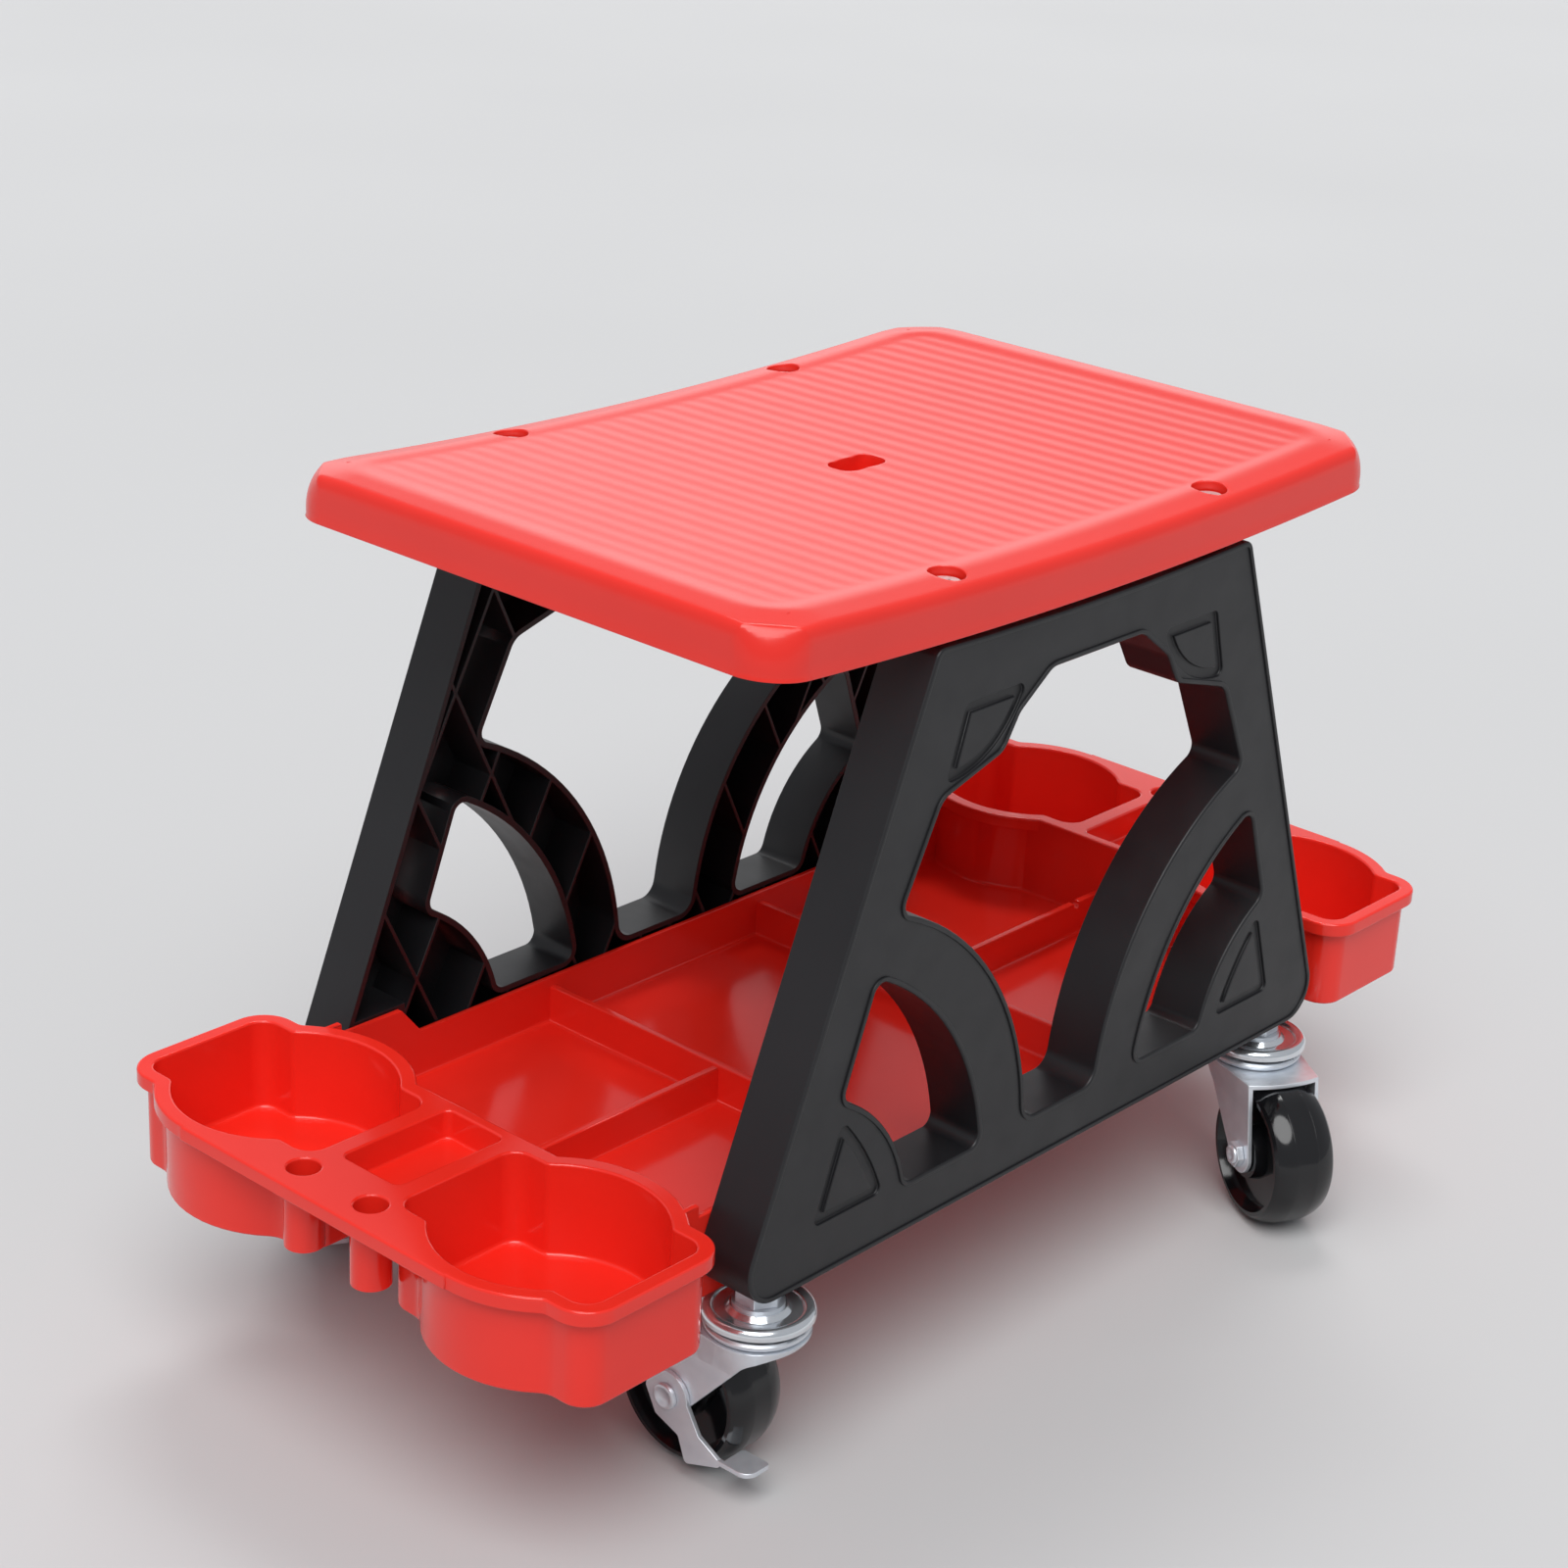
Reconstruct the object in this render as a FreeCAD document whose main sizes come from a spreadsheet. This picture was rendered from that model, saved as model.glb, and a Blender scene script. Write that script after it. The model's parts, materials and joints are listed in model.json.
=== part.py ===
import FreeCAD, Part
import math
import os

# Rolling creeper seat: a moulded saddle seat on two openwork side frames,
# with a lobed tool tray slung between them and four swivel casters below.
# Millimetres, +Z up, X along the seat, origin on the floor under the middle.

V = FreeCAD.Vector
UP = V(0, 0, 1)
doc = FreeCAD.newDocument("creeper_seat")

SIZES = {
    # casters
    "wheel_radius": 31.75,
    "wheel_width": 28.0,
    "wheel_crown": 2.9,
    "wheel_tread": 9.0,
    "wheel_web": 18.0,
    "wheel_edge": 1.1,
    "wheel_rim_radius": 25.0,
    "hub_radius": 11.0,
    "hub_clearance": 0.5,
    "axle_drop": 51.75,
    "caster_trail": 26.7,
    "caster_x": 161.7,
    "stem_radius": 5.0,
    "stem_height": 26.0,
    "stem_chamfer": 1.0,
    "stem_head_radius": 8.0,
    "stem_head_height": 2.2,
    "nut_flats": 16.0,
    "nut_height": 6.0,
    "washer_radius": 10.0,
    "washer_height": 1.5,
    "race_radius": 21.8,
    "race_plate": 1.5,
    "race_step": 1.8,
    "race_roll": 2.4,
    "race_flange": 4.0,
    "ball_radius": 2.0,
    "ball_ring_radius": 14.6,
    "ball_count": 12,
    "ball_clearance": 0.1,
    "dish_radius": 20.5,
    "dish_foot_radius": 16.5,
    "dish_height": 2.7,
    "fork_plate": 2.0,
    "fork_inner_width": 30.0,
    "fork_front": 13.0,
    "fork_skirt": 0.7,
    "fork_arch": 20.0,
    "fork_rear": 28.5,
    "fork_rear_bow": 3.0,
    "fork_shoulder": 13.0,
    "fork_tip_radius": 8.5,
    "fork_clearance": 0.3,
    "axle_radius": 3.95,
    "axle_head_radius": 5.4,
    "axle_head_height": 1.8,
    "axle_end": 1.0,
    "axle_chamfer": 0.5,
    "axle_nut_flats": 10.0,
    "axle_nut_height": 3.2,
    "bushing_radius": 6.0,
    "running_fit": 0.06,
    "lever_plate": 2.0,
    "lever_boss_radius": 10.5,
    "lever_toe_reach": 30.5,
    "lever_toe_drop": 18.0,
    "lever_heel_reach": 10.5,
    "lever_heel_drop": 25.0,
    "lever_neck_reach": 16.8,
    "lever_neck_drop": 10.5,
    "lever_back_drop": 10.0,
    "lever_foot_length": 11.5,
    "lever_foot_width": 12.5,
    "lever_foot_round": 5.0,
    "lever_inner_round": 1.6,
    # side frames
    "frame_foot_length": 376.8,
    "frame_top_length": 193.2,
    "frame_height": 235.4,
    "frame_dip": 2.3,
    "frame_thickness": 24.6,
    "frame_overhang": 0.2,
    "frame_foot_round": 15.0,
    "frame_top_round": 5.0,
    "frame_wall": 2.6,
    "frame_skin": 3.5,
    "frame_rim": 2.2,
    "frame_face_drop": 0.8,
    "lattice_pitch": 40.0,
    "lattice_wall": 1.8,
    "crest_round": 9.0,
    "waist_round": 5.0,
    "ankle_round": 8.0,
    "eye_round": 5.0,
    "badge_groove": 4.4,
    "badge_depth": 1.4,
    "badge_round": 3.0,
    "foot_block_height": 32.0,
    "foot_block_inset": 42.0,
    "head_block_width": 13.0,
    "head_block_height": 30.0,
    # seat
    "seat_length": 370.0,
    "seat_width": 249.0,
    "seat_height": 20.3,
    "seat_gap": 2.6,
    "seat_dip": 6.4,
    "seat_corner": 18.6,
    "seat_border": 12.5,
    "seat_border_drop": 2.1,
    "seat_edge_round": 3.2,
    "seat_wall": 3.0,
    "seat_rib": 2.2,
    "seat_rib_depth": 10.0,
    "groove_pitch": 9.9,
    "groove_width": 3.2,
    "groove_depth": 0.7,
    "groove_count": 34,
    "seat_screw_x": 80.6,
    "recess_radius": 7.0,
    "recess_depth": 6.5,
    "boss_wall": 2.0,
    "grip_length": 25.0,
    "grip_width": 13.5,
    "grip_corner": 5.0,
    "grip_depth": 9.5,
    "screw_head_radius": 5.4,
    "screw_head_height": 3.4,
    "screw_radius": 2.5,
    "screw_length": 38.0,
    "screw_clearance": 0.05,
    # tool tray
    "bin_x": 231.0,
    "bin_y": 72.5,
    "bin_radius": 43.3,
    "bin_half_width": 29.5,
    "bin_half_length": 48.5,
    "bin_corner": 8.0,
    "bin_notch": 4.5,
    "bin_outer_notch": 9.0,
    "deck_half_length": 281.5,
    "deck_height": 36.0,
    "tray_wall": 2.5,
    "tray_drop": 5.0,
    "rim_width": 6.5,
    "lip_height": 6.0,
    "lip_wall": 2.0,
    "trough_half_length": 197.0,
    "tray_frame_gap": 0.3,
    "trough_wall_height": 18.0,
    "ear_height": 31.0,
    "ear_start": 140.0,
    "ear_peak": 151.0,
    "ear_inset": 12.0,
    "divider_x": 65.0,
    "divider_wall": 3.5,
    "divider_height": 14.0,
    "spine_height": 13.0,
    "cup_start": 199.5,
    "cup_end": 252.0,
    "cup_half_width": 15.5,
    "cup_depth": 12.0,
    "cup_corner": 3.5,
    "pen_x": 267.4,
    "pen_y": 18.5,
    "pen_radius": 6.3,
    "pen_wall": 1.4,
    "pen_depth": 29.5,
    "tray_screw_inset": 14.0,
    "tray_screw_z": 12.0,
    "tray_screw_radius": 2.0,
    "tray_screw_length": 14.0,
    "tray_screw_head_radius": 4.2,
    "tray_screw_head_height": 2.4,
    "overrun": 10.0,
}

# Side frame outlines, as shares of the foot's half length and of the height.
WINDOW_TOP_SHARES = [(0.149, 0.901), (0.245, 0.845), (0.288, 0.788), (0.468, 0.746)]
WINDOW_WAIST_SHARES = (0.570, 0.580)
ARCH_OUTER_SHARES = (0.292, 0.424)
WINDOW_ANKLE_SHARES = (0.119, 0.0905)
EYE_APEX_SHARES = (0.628, 0.483)
EYE_HIP_SHARES = (0.712, 0.298)
EYE_HEEL_ARC_SHARES = (0.590, 0.223)
EYE_HEEL_SHARES = (0.504, 0.0892)
EYE_TOE_SHARES = (0.268, 0.0892)
ARCH_INNER_SHARES = (0.372, 0.306)
LOW_BADGE_SHARES = [(0.782, 0.094), (0.708, 0.262), (0.640, 0.196), (0.572, 0.094)]
HIGH_BADGE_SHARES = [(0.415, 0.893), (0.228, 0.893), (0.316, 0.802), (0.462, 0.770)]

HEADINGS = {
    "near_left": (-1, -1, 91.0, True),
    "near_right": (1, -1, -118.6, False),
    "far_left": (-1, 1, 61.4, True),
    "far_right": (1, 1, -75.0, False),
}

sheet = doc.addObject("Spreadsheet::Sheet", "sizes")
for row, (alias, value) in enumerate(SIZES.items(), start=1):
    sheet.set(f"A{row}", alias)
    sheet.set(f"B{row}", str(value))
    sheet.setAlias(f"B{row}", alias)
doc.recompute()


def size(alias):
    """A driving dimension, read back from the spreadsheet."""
    return float(sheet.get(alias))


# Flat outlines are built in the XY plane and put into sketches afterwards.

# Points closer than this count as one, and an edge this near to upright as upright.
TOUCHING = 1e-6
UPRIGHT_SHARE = 0.9


def flat(x, y):
    return V(x, y, 0)


def outline(start, *steps):
    """A closed face of lines, and of arcs where a step is (middle, end)."""
    edges = []
    here = flat(*start)
    for step in list(steps) + [start]:
        if isinstance(step[0], tuple):
            end = flat(*step[1])
            edges.append(Part.Arc(here, flat(*step[0]), end).toShape())
        else:
            end = flat(*step)
            if end.isEqual(here, TOUCHING):
                continue
            edges.append(Part.LineSegment(here, end).toShape())
        here = end
    return Part.Face(Part.Wire(edges))


def soften(face, corners):
    """The face with each named corner, ((x, y), radius), rounded off."""
    block = face.extrude(UP)
    for (x, y), radius in corners:
        upright = [e for e in block.Edges if abs(e.tangentAt(e.FirstParameter).z) > UPRIGHT_SHARE]
        edge = min(upright, key=lambda e: math.hypot(e.CenterOfMass.x - x, e.CenterOfMass.y - y))
        block = block.makeFillet(radius, [edge])
    return min(block.Faces, key=lambda f: f.CenterOfMass.z)


def rectangle(x_low, y_low, x_high, y_high, corner=0.0):
    corners = [(x_low, y_low), (x_high, y_low), (x_high, y_high), (x_low, y_high)]
    face = outline(*corners)
    if corner:
        face = soften(face, [(point, corner) for point in corners])
    return face


def disc(x, y, radius):
    return Part.Face(Part.Wire(Part.Circle(flat(x, y), UP, radius).toShape()))


def mirrored(face):
    return face.mirror(flat(0, 0), V(1, 0, 0))


def grown(face, distance):
    """The outline moved outward, or inward for a negative distance."""
    return Part.Face(Part.Wire(face.OuterWire.makeOffset2D(distance).Wires[0].Edges))


def joined(faces):
    whole = faces[0].fuse(faces[1:]) if len(faces) > 1 else faces[0]
    return whole.removeSplitter().Faces


def without(face, cutters):
    return face.cut(cutters).Faces


def sketch_curve(edge):
    """A sketch line, circle or counter-clockwise arc along a flat edge."""
    first, last = edge.ParameterRange
    start, middle, end = (edge.valueAt(first), edge.valueAt((first + last) / 2), edge.valueAt(last))
    if isinstance(edge.Curve, Part.Line):
        return Part.LineSegment(start, end)
    if edge.isClosed():
        return Part.Circle(edge.Curve.Center, UP, edge.Curve.Radius)
    if (middle - start).cross(end - middle).z < 0:
        start, end = end, start
    return Part.Arc(start, middle, end)


def origin_plane(body, role):
    return next(f for f in body.Origin.OriginFeatures if f.Role == role)


def drawn(body, name, role, faces, level=None):
    """A sketch of the faces on an origin plane, lifted by a level formula."""
    sketch = body.newObject("Sketcher::SketchObject", name)
    sketch.AttachmentSupport = (origin_plane(body, role), [""])
    sketch.MapMode = "FlatFace"
    if level:
        sketch.setExpression("AttachmentOffset.Base.z", level)
    for face in faces:
        for wire in face.Wires:
            for edge in wire.Edges:
                sketch.addGeometry(sketch_curve(edge))
    return sketch


def pad(body, name, sketch, length, reversed_way=False, midplane=False):
    feature = body.newObject("PartDesign::Pad", name)
    feature.Profile = sketch
    feature.Reversed = reversed_way
    feature.Midplane = midplane
    feature.setExpression("Length", length)
    return feature


def pocket(body, name, sketch, length, reversed_way=False, midplane=False):
    feature = body.newObject("PartDesign::Pocket", name)
    feature.Profile = sketch
    feature.Reversed = reversed_way
    feature.Midplane = midplane
    feature.setExpression("Length", length)
    return feature


def new_body(label, position=V(0, 0, 0), rotation=FreeCAD.Rotation()):
    body = doc.addObject("PartDesign::Body", label)
    body.Label = label
    body.Placement = FreeCAD.Placement(position, rotation)
    return body


def turned(label, profile, position, rotation=FreeCAD.Rotation()):
    """A body revolved about its own Z from a half profile of (radius, z)."""
    body = new_body(label, position, rotation)
    sketch = drawn(body, label + "_profile", "XZ_Plane", [profile])
    revolution = body.newObject("PartDesign::Revolution", label + "_turning")
    revolution.Profile = sketch
    revolution.ReferenceAxis = (sketch, ["V_Axis"])
    return body


def cut_of(label, base, tool):
    feature = doc.addObject("Part::Cut", label)
    feature.Label = label
    feature.Base = base
    feature.Tool = tool
    return feature


def fuse_of(label, shapes):
    feature = doc.addObject("Part::MultiFuse", label)
    feature.Label = label
    feature.Shapes = shapes
    feature.Refine = True
    return feature


def common_of(label, shapes):
    feature = doc.addObject("Part::MultiCommon", label)
    feature.Label = label
    feature.Shapes = shapes
    return feature


RIDE = size("wheel_radius") + size("axle_drop")
FRAME_OUTER_Y = size("seat_width") / 2 - size("frame_overhang")
FRAME_MID_Y = FRAME_OUTER_Y - size("frame_thickness") / 2
FRAME_INNER_Y = FRAME_OUTER_Y - size("frame_thickness")
nodes = []


# Side frames

def on_frame(shares):
    x_share, z_share = shares
    return (x_share * size("frame_foot_length") / 2, z_share * size("frame_height"))


def left(point):
    return (-point[0], point[1])


def frame_outline():
    foot = size("frame_foot_length") / 2
    head = size("frame_top_length") / 2
    height = size("frame_height")
    crown = ((0, height - size("frame_dip")), (-head, height))
    face = outline((-foot, 0), (foot, 0), (head, height), crown)
    corners = [((-foot, 0), size("frame_foot_round")), ((foot, 0), size("frame_foot_round")),
               ((head, height), size("frame_top_round")), ((-head, height), size("frame_top_round"))]
    return soften(face, corners)


def window_outline():
    """The middle opening: scalloped top corners over two wheel arches."""
    tops = [on_frame(p) for p in WINDOW_TOP_SHARES]
    waist = on_frame(WINDOW_WAIST_SHARES)
    arch = on_frame(ARCH_OUTER_SHARES)
    ankle = on_frame(WINDOW_ANKLE_SHARES)
    half_right = tops + [waist, (arch, ankle)]
    face = outline(left(tops[0]), *half_right, left(ankle), (left(arch), left(waist)),
                   *[left(p) for p in reversed(tops[1:])])
    rounds = [(p, size("crest_round")) for p in tops]
    rounds += [(waist, size("waist_round")), (ankle, size("ankle_round"))]
    return soften(face, rounds + [(left(p), r) for p, r in rounds])


def eye_outline():
    """The lower opening on +X, between the arch and the foot."""
    apex, hip, heel, toe = [on_frame(p) for p in
                            (EYE_APEX_SHARES, EYE_HIP_SHARES, EYE_HEEL_SHARES, EYE_TOE_SHARES)]
    face = outline(apex, hip, (on_frame(EYE_HEEL_ARC_SHARES), heel), toe,
                   (on_frame(ARCH_INNER_SHARES), apex))
    return soften(face, [(p, size("eye_round")) for p in (apex, hip, heel, toe)])


def badge_outline(shares):
    """A D-shaped corner relief: two straight sides and one bowed side."""
    corner, second, bow, last = [on_frame(p) for p in shares]
    face = outline(corner, second, (bow, last))
    return soften(face, [(p, size("badge_round")) for p in (corner, second, last)])


def badge_groove(shares):
    whole = badge_outline(shares)
    return without(whole, [grown(whole, -size("badge_groove"))])


def lattice_faces():
    """Crossed slanting ribs over the whole frame, as thin strips."""
    height = size("frame_height")
    pitch = size("lattice_pitch")
    half_wall = size("lattice_wall") / 2
    foot = size("frame_foot_length") / 2
    lean = height / 2
    count = math.ceil((foot + lean) / pitch)
    strips = []
    for step in range(-count, count + 1):
        low = step * pitch
        for sign in (-1, 1):
            high = low + sign * lean
            strips.append(outline((low - half_wall, 0), (low + half_wall, 0),
                                  (high + half_wall, height), (high - half_wall, height)))
    return strips


def frame_cells(frame, openings):
    """What is hollowed out of the inner side: all but walls, ribs and blocks."""
    foot = size("frame_foot_length") / 2
    block = outline((foot - size("foot_block_inset"), -size("overrun")), (foot, -size("overrun")),
                    (foot, size("foot_block_height")),
                    (foot - size("foot_block_inset"), size("foot_block_height")))
    top = size("frame_height")
    half_block = size("head_block_width") / 2
    head = rectangle(size("seat_screw_x") - half_block, top - size("head_block_height"),
                     size("seat_screw_x") + half_block, top)
    keep = [grown(face, size("frame_wall")) for face in openings] + lattice_faces()
    keep += [block, mirrored(block), head, mirrored(head)]
    cells = without(grown(frame, -size("frame_wall")), keep)
    return [cell for cell in cells if cell.Area > size("lattice_wall") ** 2 * 2]


def build_frame(label, position, rotation):
    """A moulded shell: flat outer skin, edge walls and a ribbed hollow inside."""
    body = new_body(label, position, rotation)
    frame = frame_outline()
    window = window_outline()
    eye = eye_outline()
    openings = [window, eye, mirrored(eye)]
    pad(body, label + "_blank", drawn(body, label + "_outline", "XZ_Plane", [frame]),
        "sizes.frame_thickness", reversed_way=True)
    cells = drawn(body, label + "_cell_plan", "XZ_Plane", frame_cells(frame, openings), "-sizes.frame_skin")
    pocket(body, label + "_cells", cells, "sizes.frame_thickness - sizes.frame_skin")
    holes = drawn(body, label + "_opening_plan", "XZ_Plane", openings)
    pocket(body, label + "_openings", holes, "sizes.frame_thickness")
    rims = [grown(face, size("frame_rim")) for face in openings]
    field = without(grown(frame, -size("frame_rim")), rims)
    pocket(body, label + "_field", drawn(body, label + "_field_plan", "XZ_Plane", field),
           "sizes.frame_face_drop")
    grooves = badge_groove(LOW_BADGE_SHARES) + badge_groove(HIGH_BADGE_SHARES)
    grooves += [mirrored(face) for face in grooves]
    pocket(body, label + "_badges", drawn(body, label + "_badge_plan", "XZ_Plane", grooves),
           "sizes.frame_face_drop + sizes.badge_depth")
    middle = size("frame_thickness") / 2
    stem_bore = size("stem_radius") + size("screw_clearance")
    stems = [disc(side * size("caster_x"), middle, stem_bore) for side in (-1, 1)]
    pocket(body, label + "_stem_bores", drawn(body, label + "_stem_plan", "XY_Plane", stems),
           "sizes.stem_height + sizes.running_fit", reversed_way=True)
    seat_bore = size("screw_radius") + size("screw_clearance")
    seats = [disc(side * size("seat_screw_x"), middle, seat_bore) for side in (-1, 1)]
    pocket(body, label + "_seat_bores",
           drawn(body, label + "_seat_bore_plan", "XY_Plane", seats, "sizes.frame_height"),
           "sizes.head_block_height - sizes.frame_wall")
    tray_bore = size("tray_screw_radius") + size("screw_clearance")
    trays = [disc(side * tray_screw_x(), size("tray_screw_z"), tray_bore) for side in (-1, 1)]
    pocket(body, label + "_tray_bores",
           drawn(body, label + "_tray_bore_plan", "XZ_Plane", trays, "-sizes.frame_thickness"),
           "sizes.tray_screw_length", reversed_way=True)
    nodes.append(body)
    return body


def tray_screw_x():
    return size("frame_foot_length") / 2 - size("tray_screw_inset")


# Seat

def seat_base():
    """Height of the skirt's lower edge above the frame's foot, at mid length."""
    return size("frame_height") - size("frame_dip") + size("seat_gap")


def dip_radius():
    half = size("seat_length") / 2
    return (half ** 2 + size("seat_dip") ** 2) / (2 * size("seat_dip"))


def rise(x):
    """How far the saddle has risen at a distance x from the middle."""
    radius = dip_radius()
    return radius - math.sqrt(radius ** 2 - x ** 2)


def plane_sketch(name, faces, rotation, position=V(0, 0, 0)):
    sketch = doc.addObject("Sketcher::SketchObject", name)
    sketch.Placement = FreeCAD.Placement(position, rotation)
    for face in faces:
        for wire in face.Wires:
            for edge in wire.Edges:
                sketch.addGeometry(sketch_curve(edge))
    return sketch


SIDE_VIEW = FreeCAD.Rotation(V(1, 0, 0), 90)
END_VIEW = FreeCAD.Rotation(V(1, 1, 1), 120)
PLAN_VIEW = FreeCAD.Rotation()


def swept_saddle(name, section):
    """A cross-section in YZ turned about the saddle's far-off centre line."""
    sketch = plane_sketch(name + "_section", section, END_VIEW)
    revolution = doc.addObject("Part::Revolution", name)
    revolution.Source = sketch
    revolution.Axis = V(0, 1, 0)
    revolution.Base = V(0, 0, seat_base() + size("seat_height") + dip_radius())
    reach = size("seat_length") / 2 + size("overrun")
    revolution.Angle = 2 * math.degrees(math.asin(reach / dip_radius()))
    revolution.Symmetric = True
    revolution.Solid = True
    return revolution


def extruded(name, faces, rotation, length, symmetric=False, position=V(0, 0, 0)):
    sketch = plane_sketch(name + "_plan", faces, rotation, position)
    extrusion = doc.addObject("Part::Extrusion", name)
    extrusion.Base = sketch
    extrusion.DirMode = "Normal"
    extrusion.Solid = True
    extrusion.Symmetric = symmetric
    extrusion.setExpression("LengthFwd", length)
    return extrusion


def seat_section(inset):
    """The seat's cross-section in YZ, sloping down along both borders."""
    half = size("seat_width") / 2 - inset
    low = seat_base() - (size("overrun") if inset else 0)
    top = seat_base() + size("seat_height") - inset
    edge = top - size("seat_border_drop")
    field = size("seat_width") / 2 - size("seat_border")
    face = outline((-half, low), (half, low), (half, edge), (field, top), (-field, top), (-half, edge))
    return soften(face, [((half, edge), size("seat_edge_round")), ((-half, edge), size("seat_edge_round"))])


def seat_end_limit(inset):
    """The side view that slopes both ends down like the long borders."""
    half = size("seat_length") / 2 - inset
    top = seat_base() + size("seat_height") - inset
    field = size("seat_length") / 2 - size("seat_border")
    field_top = top + rise(field)
    edge = field_top + rise(half) - rise(field) - size("seat_border_drop")
    low = seat_base() - size("overrun")
    high = top + size("seat_height")
    face = outline((-half, low), (half, low), (half, edge), (field, field_top), (field, high),
                   (-field, high), (-field, field_top), (-half, edge))
    return soften(face, [((half, edge), size("seat_edge_round")), ((-half, edge), size("seat_edge_round"))])


def seat_solid(name, inset):
    """The seat's block, or with an inset the space inside its walls and skin."""
    corner = size("seat_corner") - inset
    plan = rectangle(-size("seat_length") / 2 + inset, -size("seat_width") / 2 + inset,
                     size("seat_length") / 2 - inset, size("seat_width") / 2 - inset, corner)
    pieces = [
        swept_saddle(name + "_saddle", [seat_section(inset)]),
        extruded(name + "_footprint", [plan], PLAN_VIEW, "sizes.frame_height * 2"),
        extruded(name + "_ends", [seat_end_limit(inset)], SIDE_VIEW, "sizes.seat_width * 2", True),
    ]
    return common_of(name, pieces)


def groove_comb():
    """One comb whose teeth press the cross grooves into the seat's field."""
    pitch = size("groove_pitch")
    depth = size("groove_depth")
    top = seat_base() + size("seat_height")
    count = int(size("groove_count"))
    half_top = size("groove_width")
    half_bottom = size("groove_width") / 4
    points = []
    for index in range(count):
        x = (index - (count - 1) / 2) * pitch
        level = top + rise(x)
        points += [(x - half_top, level + depth), (x - half_bottom, level - depth),
                   (x + half_bottom, level - depth), (x + half_top, level + depth)]
    reach = points[-1][0]
    lid = top + size("seat_height")
    comb = outline(points[0], *points[1:], (reach, lid), (-reach, lid))
    return extruded("groove_comb", [comb], SIDE_VIEW,
                    "sizes.seat_width - 2 * sizes.seat_border", True)


RIB_BAYS_LONG = 8
RIB_BAYS_ACROSS = 5


def rib_plan():
    """The grid of stiffening ribs under the seat, seen from above."""
    half_rib = size("seat_rib") / 2
    inner_x = size("seat_length") / 2 - size("seat_wall") / 2
    inner_y = size("seat_width") / 2 - size("seat_wall") / 2
    strips = []
    for step in range(1, RIB_BAYS_LONG):
        x = (step / RIB_BAYS_LONG - 0.5) * size("seat_length")
        strips.append(rectangle(x - half_rib, -inner_y, x + half_rib, inner_y))
    for step in range(1, RIB_BAYS_ACROSS):
        y = (step / RIB_BAYS_ACROSS - 0.5) * size("seat_width")
        strips.append(rectangle(-inner_x, y - half_rib, inner_x, y + half_rib))
    return joined(strips)


def at_seat_screws(radius):
    return [disc(sx * size("seat_screw_x"), sy * FRAME_MID_Y, radius) for sx in (-1, 1) for sy in (-1, 1)]


def seat_top():
    """Height of the seat's field at mid length."""
    return seat_base() + size("seat_height")


def recess_floor():
    return seat_top() + rise(size("seat_screw_x")) - size("recess_depth")


def grip_outline(out):
    """The finger pocket's rounded slot, grown by a wall's width."""
    return rectangle(-size("grip_length") / 2 - out, -size("grip_width") / 2 - out,
                     size("grip_length") / 2 + out, size("grip_width") / 2 + out, size("grip_corner") + out)


def boss_seat():
    """Where the screw bosses end, just clear of the frames' curved top edge."""
    reach = size("seat_screw_x") + size("recess_radius") + size("boss_wall")
    return size("frame_height") - size("frame_dip") + frame_rise(reach) + size("screw_clearance")


def seat_shell():
    grooved = cut_of("seat_grooved", seat_solid("seat_outer", 0), groove_comb())
    return cut_of("seat_shell", grooved, seat_solid("seat_cavity", size("seat_wall")))


def seat_stiffening():
    """Ribs, screw bosses and the finger pocket's cup, all under the skin."""
    skin_low = seat_top() - size("seat_wall")
    grid = extruded("seat_rib_grid", rib_plan(), PLAN_VIEW,
                    "sizes.seat_rib_depth + sizes.seat_wall + sizes.seat_dip",
                    position=V(0, 0, skin_low - size("seat_rib_depth")))
    ribs = common_of("seat_ribs", [grid, seat_solid("seat_rib_limit", size("seat_wall") / 2)])
    boss_plan = plane_sketch("boss_plan", at_seat_screws(size("recess_radius") + size("boss_wall")),
                             PLAN_VIEW, V(0, 0, boss_seat()))
    bosses = doc.addObject("Part::Extrusion", "seat_bosses")
    bosses.Base = boss_plan
    bosses.DirMode = "Normal"
    bosses.Solid = True
    bosses.LengthFwd = skin_low + size("seat_wall") / 2 - boss_seat()
    cup = extruded("grip_cup", [grip_outline(size("seat_rib"))], PLAN_VIEW,
                   "sizes.grip_depth + sizes.seat_wall / 2",
                   position=V(0, 0, seat_top() - size("grip_depth") - size("seat_wall")))
    return [ribs, bosses, cup]


def seat_hollows():
    """The finger pocket, the screw recesses and the screw bores."""
    grip = extruded("grip_pocket", [grip_outline(0)], PLAN_VIEW, "sizes.grip_depth + sizes.overrun",
                    position=V(0, 0, seat_top() - size("grip_depth")))
    recesses = extruded("screw_recesses", at_seat_screws(size("recess_radius")), PLAN_VIEW,
                        "sizes.recess_depth + sizes.overrun", position=V(0, 0, recess_floor()))
    bores = extruded("screw_bores", at_seat_screws(size("screw_radius") + size("screw_clearance")),
                     PLAN_VIEW, "sizes.seat_height * 2", position=V(0, 0, boss_seat() - size("overrun")))
    return fuse_of("seat_hollows", [grip, recesses, bores])


def build_seat():
    """A skirted shell with cross grooves, stiffened below and bored for its screws."""
    whole = fuse_of("seat_body", [seat_shell()] + seat_stiffening())
    seat = cut_of("seat", whole, seat_hollows())
    seat.Placement = FreeCAD.Placement(V(0, 0, RIDE), FreeCAD.Rotation())
    nodes.append(seat)


def frame_rise(x):
    """How far the frame's hollowed top edge has risen at a distance x."""
    half = size("frame_top_length") / 2
    radius = (half ** 2 + size("frame_dip") ** 2) / (2 * size("frame_dip"))
    return radius - math.sqrt(radius ** 2 - x ** 2)


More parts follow.
